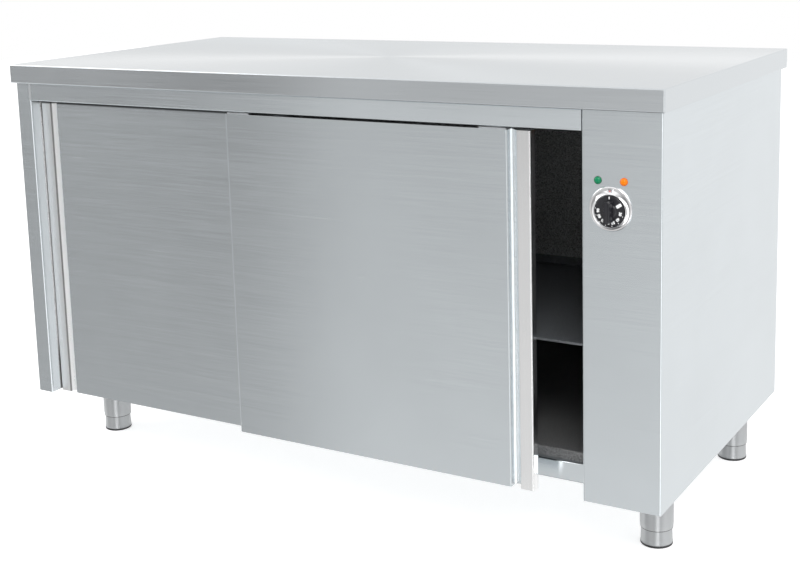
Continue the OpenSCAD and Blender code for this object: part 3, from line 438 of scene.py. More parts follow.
def brushed_steel(name, color, roughness, stretch, grain, mottle, size=5.0, wipe=0.1, anisotropic=0.85,
                  spread_turn=0.25, metallic=1.0):
    """Brushed sheet: gloss spreads up and down with a spread_turn of a quarter, and sideways with none."""
    material, tree, surface = blank(name, Metallic=metallic, Anisotropic=anisotropic,
                                    Anisotropic_Rotation=spread_turn)
    lines = placed_group(tree, "brushed_grain", (-900, 200), Stretch=stretch)
    clouds = placed_group(tree, "sheet_mottle", (-900, -200), Size=size, Wipe=wipe)
    cloudy = tone_mix(tree, clouds.outputs["Tone"], *shades(color, mottle), (-600, 200))
    grainy = tone_mix(tree, lines.outputs["Tone"], *shades((0.97, 0.97, 0.97), 0.03), (-600, 0))
    tree.links.new(multiplied(tree, cloudy, grainy, (-300, 150)), surface.inputs["Base Color"])
    base = ranged(tree, lines.outputs["Tone"], (-600, -200), To_Min=roughness - 0.04, To_Max=roughness + 0.04)
    rough = reckoned(tree, "MULTIPLY_ADD", (-300, -150), clouds.outputs["Smear"], 0.12, base)
    tree.links.new(rough, surface.inputs["Roughness"])
    bump_from(tree, lines.outputs["Height"], grain, surface, (-300, -350))
    return material


def speckled(name, color, roughness, size, spread, depth, **values):
    """Dull or moulded surface with small grains of the given size, as grains per metre."""
    material, tree, surface = blank(name, **values)
    grains = placed_group(tree, "fine_speckle", (-700, 0), Size=size)
    color = tone_mix(tree, grains.outputs["Tone"], *shades(color, spread), (-400, 150))
    tree.links.new(color, surface.inputs["Base Color"])
    rough = ranged(tree, grains.outputs["Tone"], (-400, -50), To_Min=roughness - 0.05, To_Max=roughness + 0.05)
    tree.links.new(rough, surface.inputs["Roughness"])
    bump_from(tree, grains.outputs["Height"], depth, surface, (-400, -300))
    return material


def toned_along(material, axis, stops):
    """Multiply a finish's colour by a tone that changes along X, Y or Z, from (place in metres, tone) stops."""
    tree = material.node_tree
    color = next(node for node in tree.nodes if node.type == "BSDF_PRINCIPLED").inputs["Base Color"]
    place = add(tree, "ShaderNodeTexCoord", (-900, 600))
    split = add(tree, "ShaderNodeSeparateXYZ", (-700, 600))
    tree.links.new(place.outputs["Object"], split.inputs[0])
    low, high = stops[0][0], stops[-1][0]
    ramp = add(tree, "ShaderNodeValToRGB", (-450, 450))
    marks = ramp.color_ramp.elements
    for at, _ in stops[1:-1]:
        marks.new((at - low) / (high - low))
    for mark, (_, tone) in zip(marks, stops):
        mark.color = (tone, tone, tone, 1)
    tree.links.new(ranged(tree, split.outputs[axis], (-500, 600), From_Min=low, From_Max=high), ramp.inputs[0])
    tree.links.new(multiplied(tree, color.links[0].from_socket, ramp.outputs[0], (-150, 400)), color)
    return material


def lens_plastic(name, color):
    """Coloured lens with the fine ribs of its moulding. Its colour is lighter where it faces the view and darker
    towards its rim: a painted glow standing in for a bright inside behind clear plastic.
    """
    _, tree, surface = blank(name, Metallic=0.0, Roughness=0.12, Coat_Weight=0.1, Coat_Roughness=0.05,
                             Specular_IOR_Level=0.3)
    grains = placed_group(tree, "fine_speckle", (-700, 0), Size=900)
    # Painted glow: lighter colour where the lens faces the view, darker towards its rim
    facing = add(tree, "ShaderNodeLayerWeight", (-700, 250), Blend=0.35)
    dark, light = shades(color, 0.3)
    base = tone_mix(tree, facing.outputs["Facing"], light, dark, (-400, 150))
    tree.links.new(base, surface.inputs["Base Color"])
    bump_from(tree, grains.outputs["Height"], 0.0002, surface, (-400, -300))


def build_steels(steel):
    """Finishes of the sheets and tubes. Some have painted light or shade in their colour: painted shade under the
    rail, in the left grip's crease and on the shelf, and painted light on the rail and the grips. The chamber's steel
    is darker towards its floor.
    """
    rough, body = steel.roughness, steel.body_color
    common = {"grain": steel.grain, "mottle": steel.mottle}
    sheet = {"stretch": (5, 5, 600), **common}
    grip = {"stretch": (700, 700, 5), "size": 8, "anisotropic": 0.8, "spread_turn": 0.0, **common}
    # Painted shade: the top of the rear door and of its grip darkens just under the header rail, where the rail's
    # shade falls
    painted_rail_shade = [(DOOR_TOP - 5 * MM, 1), (DOOR_TOP - 2.5 * MM, 0.15)]
    # Painted shade: a dark band just behind the left grip's lip, in the crease between lip and slope
    painted_crease_shade = [(GRIP_LIP + 0.1 * MM, 1), (GRIP_LIP + 0.5 * MM, 0.25), (GRIP_LIP + 2.6 * MM, 0.25),
                  (GRIP_LIP + 3.4 * MM, 1)]
    brushed_steel("stainless_top", steel.top_color, rough - 0.02, (4, 420, 420), steel.grain, steel.mottle * 0.6, 4)
    brushed_steel("stainless", body, rough, **sheet)
    brushed_steel("stainless_bright", steel.bright_color, 0.2, (60, 60, 900), steel.grain * 0.5, steel.mottle,
                  12, 0.2, 0.3)
    toned_along(brushed_steel("rear_door_steel", body, rough, **sheet), "Z", painted_rail_shade)
    # Painted light and shade: the rail's steel is a lighter copy of the body's steel, darker towards the rail's left
    # end
    toned_along(brushed_steel("rail_steel_painted_light", [1.15 * c for c in body], rough, **sheet), "X",
                [(RAIL_LEFT, 0.82), (RAIL_LEFT + 0.25, 0.84), (RAIL_LEFT + 0.5, 1)])
    # Painted light: the grips' near-white steel, lighter on the right grip than on the left
    left_grip = brushed_steel("left_grip_steel", steel.left_grip_color_and_sheen, 0.3, **grip)
    toned_along(toned_along(left_grip, "Z", painted_rail_shade), "Y", painted_crease_shade)
    brushed_steel("right_grip_steel", steel.right_grip_color_and_sheen, 0.17, **grip)
    brushed_steel("foot_steel", steel.foot_color, 0.38, (30, 30, 1400), 0, 0.02, 12, 0.0, 0.4, metallic=0.5)
    brushed_steel("track_aluminium", (0.8, 0.81, 0.82), 0.34, (6, 500, 500), steel.grain, 0.04, wipe=0.4)
    # Painted shade: the shelf is the chamber's steel at under a third of its tone, darkened for the shade inside the
    # chamber
    speckled("shelf_steel_painted_shade", [0.3 * c for c in steel.chamber_color], 0.45, 520, 0.8, 0.0002, Metallic=0.3)
    chamber = speckled("chamber_steel", steel.chamber_color, 0.5, 520, 0.8, 0.0002, Metallic=0.3)
    toned_along(chamber, "Z", [(CHAMBER_FLOOR, 0.35), (CHAMBER_FLOOR + 50 * MM, 1)])


def build_small_finishes(dial):
    """Finishes of the small metal, plastic and rubber parts and of the print."""
    for name, color, roughness, size, spread, depth, values in (
            ("zinc_steel", (0.6, 0.62, 0.64), 0.38, 130, 0.12, 0.00004, {"Metallic": 1.0}),
            ("bezel_chrome", (0.42, 0.425, 0.42), 0.4, 60, 0.03, 0.00002, {"Metallic": 1.0}),
            ("element_steel", (0.22, 0.2, 0.18), 0.45, 90, 0.35, 0.00005, {"Metallic": 0.9}),
            ("sensor_copper", (0.72, 0.42, 0.28), 0.28, 160, 0.15, 0.00003, {"Metallic": 1.0}),
            ("recess_dark", (0.06, 0.06, 0.065), 0.5, 800, 0.3, 0.00003, {"Metallic": 0.6}),
            ("black_gloss", (0.006, 0.009, 0.016), 0.16, 300, 0.1, 0.00001,
             {"Coat_Weight": 0.3, "Coat_Roughness": 0.05}),
            ("black_plastic", (0.03, 0.03, 0.032), 0.45, 1200, 0.2, 0.00005, {}),
            ("stop_rubber", (0.022, 0.022, 0.023), 0.72, 700, 0.3, 0.0001, {}),
            ("white_nylon", (0.84, 0.83, 0.78), 0.42, 500, 0.04, 0.00003, {"Subsurface_Weight": 0.1}),
            ("white_print", dial.print_color, 0.4, 2000, 0.03, 0.00001, {}),
            ("red_print", dial.pointer_color, 0.35, 1500, 0.1, 0.00001, {})):
        speckled(name, color, roughness, size, spread, depth, **values)
    lens_plastic("green_lens", (0.0, 0.17, 0.07))
    lens_plastic("orange_lens", (0.8, 0.17, 0.0))


# Nodes whose finish differs from their material slot, by the end of their name
ENDINGS = {"shelf": "shelf_steel_painted_shade", "header_rail": "rail_steel_painted_light", "left_door_skin": "rear_door_steel",
           "left_door_handle": "left_grip_steel", "right_door_handle": "right_grip_steel",
           "_collar": "foot_steel", "_foot": "foot_steel"}


class CUPBOARD_OT_finishes(Operator):
    """Give every sheet, tube and moulding of the frame its finish"""
    bl_idname = "cupboard.finishes"
    bl_label = "Finishes"

    def execute(self, context):
        build_brushed_grain()
        build_sheet_mottle()
        build_fine_speckle()
        build_steels(context.scene.cupboard_steel)
        build_small_finishes(context.scene.cupboard_dial)
        slots = {row["node"]: row["material_slot"] for row in frame["record"]["subparts"]}
        for name, item in frame["nodes"].items():
            special = next((finish for end, finish in ENDINGS.items() if name.endswith(end)), slots[name])
            item.data.materials.clear()
            item.data.materials.append(FINISHES[special])
        return {"FINISHED"}


# Dial

class CUPBOARD_OT_dial_cap(Operator):
    """Model the dial: a disc with a sunk print field, a hub and a finger bar"""
    bl_idname = "cupboard.dial_cap"
    bl_label = "Dial"

    def execute(self, context):
        edge = context.scene.cupboard_dial.edge_r
        low, r, thick = DIAL_LOW, CAP_R, CAP_DISC
        front = DIAL_HIGH.y - thick
        bar_h = front - low.y
        disc = turned("dial_disc", (DIAL_X, DIAL_HIGH.y, DIAL_Z), [
            (r - 0.6 * MM, 0), (r, 0.5 * MM), (r, thick - edge), (r - 0.15 * edge, thick - 0.45 * edge),
            (r - 0.5 * edge, thick - 0.1 * edge), (r - 0.8 * edge, thick), (r - 1.2 * edge, PRINT_FIELD),
            (0.49 * r, PRINT_FIELD), (0.47 * r, thick + 0.5 * MM), (0.44 * r, thick + 1.1 * MM),
            (0.41 * r, thick + 1.3 * MM)], steps=96)
        wide, narrow, long = 15 * MM, 9 * MM, 36 * MM
        bar = block("dial_bar", (DIAL_X, low.y + bar_h / 2 + 0.3 * MM, DIAL_Z), (wide, bar_h - 0.6 * MM, long))
        edit(bar)
        pick(bar, "FACE", faces_front)
        bpy.ops.transform.resize(value=(narrow / wide, 1, 1), center_override=(DIAL_X, low.y, DIAL_Z))
        bpy.ops.mesh.inset(thickness=1.2 * MM)
        bpy.ops.transform.translate(value=(0, -0.5 * MM, 0))
        pick(bar, "EDGE", lambda e: all(abs(abs(v.co.z - DIAL_Z) - long / 2) < 1e-5 for v in e.verts)
             and y_run(e) > 3 * MM)
        bpy.ops.mesh.bevel(offset=4.2 * MM, segments=6, affect="EDGES")
        pick(bar, "EDGE", lambda e: e.calc_face_angle(0) > 0.5 and all(v.co.y < front - 4 * MM for v in e.verts))
        bpy.ops.mesh.bevel(offset=0.95 * MM, segments=3, affect="EDGES")
        faced_outward()
        cap = joined("dial_cap", bar, disc)
        smoothed(cap, 28)
        finished(cap, "dial", "black_gloss")
        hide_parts("dial_knob")
        return {"FINISHED"}


def on_dial(radius, clockwise, height=0.0):
    """A place on the dial, clockwise from its top in degrees, height in front of its print field."""
    a = math.radians(clockwise)
    return Vector((DIAL_X + radius * math.sin(a), DIAL_HIGH.y - PRINT_FIELD - height,
                   DIAL_Z + radius * math.cos(a)))


class CUPBOARD_OT_dial_print(Operator):
    """Print the figures, dots and off mark on the dial"""
    bl_idname = "cupboard.dial_print"
    bl_label = "Dial figures"

    def execute(self, context):
        dial = context.scene.cupboard_dial
        marks = []
        for number, angle in zip(("30", "40", "50", "60", "70", "80", "90"), (98, 130, 160, 187, 213, 243, 271)):
            deselect()
            bpy.ops.object.text_add()
            figure = bpy.context.active_object
            figure.data.body = number
            figure.data.size = dial.figure_h * FONT_PER_FIGURE
            figure.data.align_x, figure.data.align_y = "CENTER", "CENTER"
            figure.data.extrude = 0.06 * MM
            figure.data.offset = 0.3 * MM
            figure.data.resolution_u = 3
            choose(figure)
            bpy.ops.object.convert(target="MESH")
            figure = bpy.context.active_object
            up = Matrix.Rotation(math.radians(90), 4, "X")
            spin = Matrix.Rotation(math.radians(angle), 4, "Y")
            at = on_dial(DIAL_R * dial.figure_at, angle, 0.03 * MM)
            figure.data.transform(Matrix.Translation(at) @ spin @ up)
            marks.append(figure)
            marks.append(self.dot(on_dial(DIAL_R * 0.88, angle + 9), 0.8 * MM))
        marks.append(self.bar(on_dial(DIAL_R * 0.83, 0), 0, 1.7 * MM, 5.0 * MM))
        marks.append(self.bar(on_dial(DIAL_R * 0.71, 58), 58, 5.2 * MM, 9.8 * MM))
        printed = joined("dial_figures", *marks)
        settle(printed)
        finished(printed, "dial", "white_nylon", "white_print")
        return {"FINISHED"}

    def dot(self, place, r):
        deselect()
        bpy.ops.mesh.primitive_circle_add(vertices=16, radius=r, fill_type="NGON", location=place,
                                          rotation=(math.pi / 2, 0, 0))
        item = named("dial_dot")
        settle(item)
        self.raised(item)
        return item

    def bar(self, place, angle, width, length):
        deselect()
        bpy.ops.mesh.primitive_plane_add(size=1, location=place, rotation=(math.pi / 2, 0, 0))
        item = named("dial_mark")
        choose(item)
        bpy.ops.object.transform_apply(location=False, rotation=True, scale=True)
        item.data.transform(Matrix.Rotation(math.radians(angle), 4, "Y")
                            @ Matrix.Diagonal((width, 1, length, 1)))
        settle(item)
        edit(item, "VERT")
        bpy.ops.mesh.select_all(action="SELECT")
        bpy.ops.mesh.bevel(offset=width * 0.22, segments=3, affect="VERTICES")
        done()
        self.raised(item)
        return item

    def raised(self, item):
        edit(item)
        bpy.ops.mesh.select_all(action="SELECT")
        bpy.ops.mesh.extrude_region_move(TRANSFORM_OT_translate={"value": (0, -PRINT_H, 0)})
        faced_outward()


class CUPBOARD_OT_bezel(Operator):
    """Turn the ring round the dial and give it its window and pointer"""
    bl_idname = "cupboard.bezel"
    bl_label = "Dial ring"

    def execute(self, context):
        low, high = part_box("dial_bezel")
        centre = Vector(((low.x + high.x) / 2, high.y, (low.z + high.z) / 2 - 0.9 * MM))
        outer, deep = (high.x - low.x) / 2, high.y - low.y
        inner = DIAL_R - 1.1 * MM
        drop, wide = centre.z - DIAL_Z, outer - inner
        profile = ((0.03, 0), (0, 0.3), (0, 1.2), (0.05, 2.2), (0.13, 2.9), (0.21, 3.1), (0.28, 2.9), (0.36, 3.0),
                   (0.55, 3.8), (0.72, 4.7), (0.80, 5.2), (0.85, 5.7), (0.90, 6.0), (0.95, 5.9), (0.99, 5.4),
                   (1, 4.6), (1, 0))
        ring = turned("dial_ring", centre, [
            (outer - share * wide, up / 6 * deep, drop * max(0, share - 0.1) / 0.9) for share, up in profile],
            steps=128, closed=True)
        smoothed(ring, 50)
        finished(ring, "cabinet", "bezel_chrome")
        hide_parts("dial_bezel")
        at = Vector((centre.x, high.y - 4.1 * MM, DIAL_Z + DIAL_R + 6.2 * MM))
        window = block("ring_window", at, (10 * MM, 1.8 * MM, 5.6 * MM))
        edit(window, "EDGE")
        pick(window, "EDGE", lambda e: y_run(e) > 1 * MM)
        bpy.ops.mesh.bevel(offset=2.2 * MM, segments=5, affect="EDGES")
        pick(window, "FACE", faces_front)
        bpy.ops.mesh.inset(thickness=0.7 * MM)
        bpy.ops.mesh.extrude_region_move(TRANSFORM_OT_translate={"value": (0, 0.7 * MM, 0)})
        done()
        smoothed(window, 40)
        finished(window, "cabinet", "bezel_chrome")
        # Painted shade: a thin dark strip in the top of the window's recess, standing in for the shade under its rim
        shade_strip = block("window_slit", at + Vector((0, -0.25 * MM, 1.2 * MM)), (6.4 * MM, 0.3 * MM, 1.1 * MM))
        edit(shade_strip, "EDGE")
        pick(shade_strip, "EDGE", lambda e: y_run(e) > 0.1 * MM)
        bpy.ops.mesh.bevel(offset=0.4 * MM, segments=3, affect="EDGES")
        done()
        finished(shade_strip, "cabinet", "black_plastic", "recess_dark")
        deselect()
        bpy.ops.mesh.primitive_cone_add(vertices=3, radius1=1.6 * MM, radius2=1.2 * MM, depth=0.8 * MM,
                                        location=at + Vector((0, -0.35 * MM, -0.9 * MM)),
                                        rotation=(math.pi / 2, math.pi, 0), scale=(1.5, 1, 1))
        pointer = named("ring_pointer")
        settle(pointer)
        edit(pointer)
        pick(pointer, "FACE", faces_front)
        bpy.ops.mesh.inset(thickness=0.3 * MM)
        bpy.ops.transform.translate(value=(0, -0.1 * MM, 0))
        done()
        finished(pointer, "cabinet", "orange_lens", "red_print")
        return {"FINISHED"}


# Weld and seams

class CUPBOARD_OT_seams(Operator):
    """Fill the ground weld between stile and rail, and lay a dark rubber ring in the gap between each leg and its
    foot, as painted shade for the gap
    """
    bl_idname = "cupboard.seams"
    bl_label = "Weld and gap shade rings"

    def execute(self, context):
        rail, side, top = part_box("header_rail"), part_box("left_side_panel"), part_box("worktop")
        left, right = side[1].x - 3.4 * MM, max(side[1].x, rail[0].x) + 0.8 * MM
        low, high = rail[0].z + 0.2 * MM, top[1].z - 39 * MM
        front = side[0].y - 0.03 * MM
        weld = block("corner_weld", ((left + right) / 2, front + 1.4 * MM, (low + high) / 2),
                     (right - left, 2.8 * MM, high - low))
        edit(weld)
        pick(weld, "FACE", faces_front)
        bpy.ops.mesh.inset(thickness=0.3 * MM)
        bpy.ops.transform.translate(value=(0, -0.01 * MM, 0))
        done()
        finished(weld, "cabinet", "stainless")
        inner, thick = 24 * MM, 1.2 * MM
        for name in ("front_left", "front_right", "rear_left", "rear_right"):
            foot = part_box(name + "_foot")
            outer = (foot[1].x - foot[0].x) / 2 + 0.3 * MM
            # Painted shade: a thin dark ring under each leg's collar, where the gap's shade falls
            gap_shade_ring = turned(name + "_washer", (0, 0, 0), [
                (inner, 0), (outer - 0.9 * MM, 0), (outer - 0.2 * MM, 0.25 * MM), (outer, thick / 2),
                (outer - 0.2 * MM, thick - 0.25 * MM), (outer - 0.9 * MM, thick), (inner, thick)], closed=True)
            under_leg = middle(name + "_collar")
            under_leg.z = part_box(name + "_collar")[0].z
            gap_shade_ring.data.transform(Matrix.Translation(under_leg) @ Matrix.Rotation(math.pi / 2, 4, "X"))
            smoothed(gap_shade_ring, 40)
            finished(gap_shade_ring, "cabinet", "stop_rubber")
        return {"FINISHED"}


# Screws and cable gland

SCREW_R, SCREW_H = 4 * MM, 2 * MM


def islands(item):
    """The separate bodies of a node, each as a list of corner places."""
    shape = bmesh.new()
    shape.from_mesh(item.data)
    bmesh.ops.remove_doubles(shape, verts=shape.verts, dist=1e-6)
    left, found = set(shape.verts), []
    while left:
        grow, body = [left.pop()], []
        while grow:
            vert = grow.pop()
            body.append(vert.co.copy())
            for joined_edge in vert.link_edges:
                other = joined_edge.other_vert(vert)
                if other in left:
                    left.remove(other)
                    grow.append(other)
        found.append(body)
    shape.free()
    return found


class CUPBOARD_OT_screws(Operator):
    """Model one domed screw with a cross recess and copy it to every screw of the body"""
    bl_idname = "cupboard.screws"
    bl_label = "Screws"

    def execute(self, context):
        depth = context.scene.cupboard_fittings.recess_depth
        r, h = SCREW_R, SCREW_H
        head = turned("screw", (0, 0, 0), [
            (r / 2, -10 * MM), (r / 2, 0), (r * 0.97, 0), (r, 0.25 * MM), (r * 0.97, 0.6 * MM), (r * 0.8, 1.25 * MM),
            (r * 0.55, 1.72 * MM), (r * 0.3, h - 0.06 * MM), (r * 0.15, h)], steps=24)
        cross = block("cross", (0, -h + depth / 2, 0), (0.9 * MM, depth + 0.4 * MM, 0.9 * MM))
        edit(cross)
        for x, z in ((1, 0), (-1, 0), (0, 1), (0, -1)):
            pick(cross, "FACE", lambda f: abs(f.normal.y) < 0.1 and f.normal.x * x + f.normal.z * z > 0.9
                 and abs(f.calc_center_median().x * z + f.calc_center_median().z * x) < 1e-5)
            bpy.ops.mesh.extrude_region_move(TRANSFORM_OT_translate={"value": (x * 1.6 * MM, 0, z * 1.6 * MM)})
        done()
        cut = head.modifiers.new("recess", "BOOLEAN")
        cut.operation, cut.object, cut.solver = "DIFFERENCE", cross, "EXACT"
        choose(head)
        bpy.ops.object.modifier_apply(modifier="recess")
        copies = [self.at_screw(head, body, n) for n, body in enumerate(islands(frame["nodes"]["body_screws"]))]
        removed(head, cross)
        screws = joined("panel_screws", *copies)
        smoothed(screws, 40)
        finished(screws, "cabinet", "zinc_steel")
        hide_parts("body_screws")
        return {"FINISHED"}

    def at_screw(self, head, body, n):
        """A copy of the screw where the frame has one: its axis is the way its two other sizes agree."""
        low = Vector([min(p[k] for p in body) for k in range(3)])
        high = Vector([max(p[k] for p in body) for k in range(3)])
        size, centre = high - low, (low + high) / 2
        axis = min(range(3), key=lambda k: abs(size[(k + 1) % 3] - size[(k + 2) % 3]))
        wide = max(size[(axis + 1) % 3], size[(axis + 2) % 3]) / 2

        def off_axis(p):
            flat = p - centre
            flat[axis] = 0
            return flat.length

        rim = [p[axis] for p in body if off_axis(p) > 0.97 * wide]
        outward = 1 if sum(rim) / len(rim) > centre[axis] else -1
        scale = wide / SCREW_R
        tip = high[axis] if outward > 0 else low[axis]
        seat = centre.copy()
        seat[axis] = tip - outward * SCREW_H * scale
        normal = Vector([outward if k == axis else 0 for k in range(3)])
        turn = Vector((0, -1, 0)).rotation_difference(normal).to_matrix().to_4x4()
        twist = Matrix.Rotation(math.radians(37 * n % 90), 4, "Y")
        copy = placed(head, Matrix.Translation(seat) @ turn @ twist @ Matrix.Scale(scale, 4))
        length = size[axis] - SCREW_H * scale
        end = seat[axis] - outward * length
        for vert in copy.data.vertices:
            if (vert.co[axis] - seat[axis]) * outward < -1 * MM:
                vert.co[axis] = end
        return copy


class CUPBOARD_OT_gland(Operator):
    """Model the cable gland: stem, hex nuts and ribbed dome nut"""
    bl_idname = "cupboard.gland"
    bl_label = "Cable gland"

    def execute(self, context):
        ribs = context.scene.cupboard_fittings.gland_ribs
        hole = middle("cable_gland")
        hole.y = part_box("back_panel")[1].y
        x, wall, z = hole
        stem = turned("gland_stem", hole, [
            (5 * MM, 12 * MM), (9.6 * MM, 12 * MM), (9.6 * MM, 9 * MM), (9.0 * MM, 8.5 * MM), (9.6 * MM, 8 * MM),
            (9.6 * MM, -2 * MM), (9.6 * MM, -6 * MM), (5 * MM, -6 * MM)], steps=48, closed=True)
        dome = turned("gland_dome", hole, [
            (5 * MM, -5 * MM), (10.6 * MM, -5 * MM), (10.6 * MM, -13.5 * MM), (10.3 * MM, -15 * MM),
            (9.4 * MM, -16.6 * MM), (8.2 * MM, -17.6 * MM), (7.2 * MM, -18 * MM), (6.2 * MM, -17.8 * MM),
            (5 * MM, -17.2 * MM)], steps=48, closed=True)
        rib = block("gland_rib", (x, wall + 9.6 * MM, z + 10.6 * MM), (1.5 * MM, 7 * MM, 1.6 * MM))
        edit(rib)
        pick(rib, "FACE", lambda f: f.normal.z > 0.9)
        bpy.ops.transform.resize(value=(0.6, 0.8, 1))
        pick(rib, "EDGE", lambda e: all(v.co.z > z + 11 * MM for v in e.verts))
        bpy.ops.mesh.bevel(offset=0.2 * MM, segments=2, affect="EDGES")
        done()
        about = Matrix.Translation(hole)
        copies = [placed(rib, about @ Matrix.Rotation(2 * math.pi * k / ribs, 4, "Y") @ about.inverted())
                  for k in range(ribs)]
        removed(rib)
        nuts = []
        for y0, y1 in ((0, 5.8), (-7.2, -1.2)):
            deselect()
            bpy.ops.mesh.primitive_cylinder_add(vertices=6, radius=14 * MM, depth=(y1 - y0) * MM,
                                                location=(x, wall + (y0 + y1) / 2 * MM, z),
                                                rotation=(math.pi / 2, math.pi / 6, 0))
            nut = named("gland_nut")
            settle(nut)
            edit(nut, "EDGE")
            pick(nut, "EDGE", lambda e: y_run(e) < 1e-6)
            bpy.ops.mesh.bevel(offset=0.8 * MM, segments=2, affect="EDGES")
            done()
            nuts.append(nut)
        gland = joined("gland_nuts", stem, *copies, *nuts, dome)
        smoothed(gland)
        finished(gland, "cabinet", "black_plastic")
        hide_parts("cable_gland")
        return {"FINISHED"}


# Studio: what gloss sees around the object, as degrees to the right of the front and as the sine of the height

WALLS = [(math.radians(turn), level) for turn, level in (
    (-180, 1.0), (-130, 0.93), (-112, 1.0), (-92, 0.98), (-78, 0.98), (-66, 0.5), (-58, 0.38), (-48, 0.46),
    (-42, 0.40), (-38, 0.37), (-36, 0.42), (-34, 0.76), (-32.5, 0.74), (-31, 0.60), (-26, 0.62), (-13, 0.68),
    (-7, 0.55), (-2, 0.4), (14, 0.4), (20, 2.0), (26, 2.6), (34, 2.2), (43, 0.3), (52, 0.3), (58, 0.8), (70, 0.85),
    (80, 0.96), (100, 0.96), (110, 1.05), (180, 1.0))]
HEIGHTS = ((-1, 0.3), (-0.85, 0.4), (-0.72, 1.2), (-0.55, 1.9), (-0.42, 1.3), (-0.32, 1.14), (-0.24, 1.1),
           (-0.18, 0.99), (-0.12, 0.86), (-0.04, 0.86), (0.12, 0.92), (0.25, 1.1), (0.4, 2.2), (0.7, 2.2), (1, 1.2))
DULL_LIGHT = 0.85


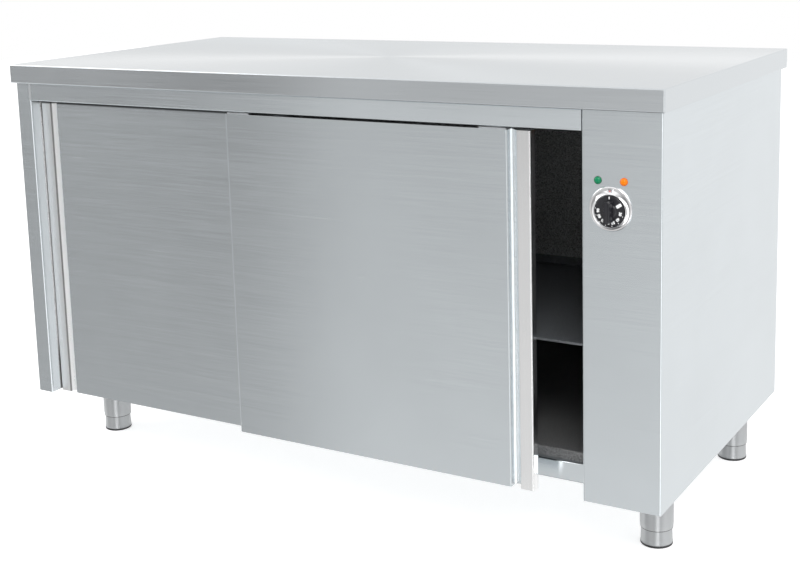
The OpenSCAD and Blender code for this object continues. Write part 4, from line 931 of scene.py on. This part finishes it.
class CUPBOARD_OT_stage(Operator):
    """Lay the floor, set the lamps and the pale surroundings, and place the camera"""
    bl_idname = "cupboard.stage"
    bl_label = "Studio"

    def execute(self, context):
        stage = context.scene.cupboard_stage
        deselect()
        bpy.ops.mesh.primitive_plane_add(size=16)
        floor = named("studio_floor")
        settle(floor)
        floor.data.materials.append(self.floor_finish(stage))
        floor.visible_glossy = False
        self.surroundings(context)
        self.lamp("key_lamp", (1.9, -2.2, 3.0), (0.1, 0, 0.4), 1.6, stage.key_power)
        self.lamp("fill_lamp", (-2.6, -1.6, 2.2), (0, 0, 0.4), 2.2, stage.fill_power)
        self.camera(context, stage)
        context.scene.view_settings.view_transform = "Standard"
        return {"FINISHED"}

    def floor_finish(self, stage):
        material = bpy.data.materials.new("studio_floor")
        tree = emptied(material)
        out = add(tree, "ShaderNodeOutputMaterial", (500, 0))
        plain = add(tree, "ShaderNodeBsdfDiffuse", (-100, -120), Color=(*stage.floor_color, 1))
        glow = add(tree, "ShaderNodeEmission", (-100, 120), Color=(1, 1, 1, 1), Strength=stage.floor_glow)
        both = add(tree, "ShaderNodeAddShader", (100, 80))
        pick_one = add(tree, "ShaderNodeMixShader", (300, 0))
        link = tree.links.new
        link(glow.outputs[0], both.inputs[0])
        link(plain.outputs[0], both.inputs[1])
        link(self.seen(tree, (-300, 300), "Camera", "Glossy", "Transmission"), pick_one.inputs[0])
        link(plain.outputs[0], pick_one.inputs[1])
        link(both.outputs[0], pick_one.inputs[2])
        link(pick_one.outputs[0], out.inputs["Surface"])
        return material

    def seen(self, tree, at, first, *others):
        """1 for rays of the named kinds and 0 for the rest."""
        path = add(tree, "ShaderNodeLightPath", at)
        value = path.outputs[f"Is {first} Ray"]
        for kind in others:
            value = reckoned(tree, "MAXIMUM", (at[0] + 200, at[1]), value, path.outputs[f"Is {kind} Ray"])
        return value

    def surroundings(self, context):
        """The studio: white to the camera, even to dull surfaces. Gloss sees WALLS, and HEIGHTS towards the front."""
        world = bpy.data.worlds.new("studio")
        context.scene.world = world
        tree = emptied(world)
        out = add(tree, "ShaderNodeOutputWorld", (900, 0))
        way = add(tree, "ShaderNodeTexCoord", (-1300, 0))
        split = add(tree, "ShaderNodeSeparateXYZ", (-1100, 0))
        tree.links.new(way.outputs["Generated"], split.inputs[0])
        x, y, z = split.outputs
        front = reckoned(tree, "MULTIPLY", (-900, 100), y, -1)
        turn = reckoned(tree, "ARCTAN2", (-750, 100), x, front)
        around = self.levels(tree, turn, -math.pi, math.pi, WALLS, (-600, 100))
        height = self.levels(tree, z, -1, 1, HEIGHTS, (-600, -200))
        ahead = ranged(tree, y, (-100, -300), {"interpolation_type": "SMOOTHSTEP"}, From_Min=0.5, From_Max=-0.2)
        taller = blended(tree, ahead, 1, height, (50, -200))
        bright = reckoned(tree, "MULTIPLY", (100, 0), around, taller)
        lit = blended(tree, self.seen(tree, (-300, 600), "Glossy"), DULL_LIGHT, bright, (200, 0))
        clear = self.seen(tree, (-300, 300), "Camera", "Transmission")
        sky = add(tree, "ShaderNodeBackground", (680, 0), Color=(1, 1, 1, 1))
        tree.links.new(blended(tree, clear, lit, 1, (450, 0)), sky.inputs["Strength"])
        tree.links.new(sky.outputs[0], out.inputs["Surface"])

    def levels(self, tree, value, low, high, stops, at):
        """A brightness that runs smoothly through stops of (place, level), places between low and high."""
        ramp = add(tree, "ShaderNodeValToRGB", (at[0] + 180, at[1]))
        ramp.color_ramp.interpolation = "CARDINAL"
        marks = ramp.color_ramp.elements
        for n, (place, level) in enumerate(stops):
            where = (place - low) / (high - low)
            mark = marks[n] if n < 2 else marks.new(where)
            mark.position = where
            mark.color = (level / 2, level / 2, level / 2, 1)
        tree.links.new(ranged(tree, value, at, From_Min=low, From_Max=high), ramp.inputs["Fac"])
        return reckoned(tree, "MULTIPLY", (at[0] + 440, at[1]), ramp.outputs["Color"], 2)

    def lamp(self, name, place, aim, size, power):
        deselect()
        bpy.ops.object.light_add(type="AREA", location=place)
        lamp = named(name)
        lamp.data.size = size
        lamp.data.energy = power
        lamp.rotation_euler = (Vector(aim) - Vector(place)).to_track_quat("-Z", "Y").to_euler()

    def camera(self, context, stage):
        deselect()
        bpy.ops.object.camera_add(location=stage.camera_place, rotation=stage.camera_turn)
        camera = named("photo_camera")
        camera.data.sensor_width = 36
        camera.data.lens = stage.lens
        camera.data.shift_y = stage.shift
        context.scene.camera = camera


# Panel, registration and the run

STEPS = ("finishes", "dial_cap", "dial_print", "bezel", "seams", "screws", "gland", "stage")


class CUPBOARD_PT_pieces(Panel):
    bl_idname = "CUPBOARD_PT_pieces"
    bl_label = "Plate cupboard"
    bl_space_type = "VIEW_3D"
    bl_region_type = "UI"
    bl_category = "Cupboard"

    def draw(self, context):
        for label, group in (("Steel", "cupboard_steel"), ("Dial", "cupboard_dial"),
                             ("Fittings", "cupboard_fittings"), ("Studio", "cupboard_stage")):
            box = self.layout.box()
            box.label(text=label)
            settings = getattr(context.scene, group)
            for key in settings.__annotations__:
                box.prop(settings, key)
        for step in STEPS:
            self.layout.operator(f"cupboard.{step}")


GROUPS = {"cupboard_steel": SteelSettings, "cupboard_dial": DialSettings,
          "cupboard_fittings": FittingSettings, "cupboard_stage": StageSettings}
CLASSES = (*GROUPS.values(), CUPBOARD_OT_finishes, CUPBOARD_OT_dial_cap, CUPBOARD_OT_dial_print,
           CUPBOARD_OT_bezel, CUPBOARD_OT_seams, CUPBOARD_OT_screws, CUPBOARD_OT_gland, CUPBOARD_OT_stage,
           CUPBOARD_PT_pieces)


def register():
    for item in CLASSES:
        bpy.utils.register_class(item)
    for key, group in GROUPS.items():
        setattr(bpy.types.Scene, key, PointerProperty(type=group))


def unregister():
    for key in GROUPS:
        delattr(bpy.types.Scene, key)
    for item in reversed(CLASSES):
        bpy.utils.unregister_class(item)


def main():
    register()
    for step in STEPS:
        getattr(bpy.ops.cupboard, step)()


if __name__ == "__main__":
    main()
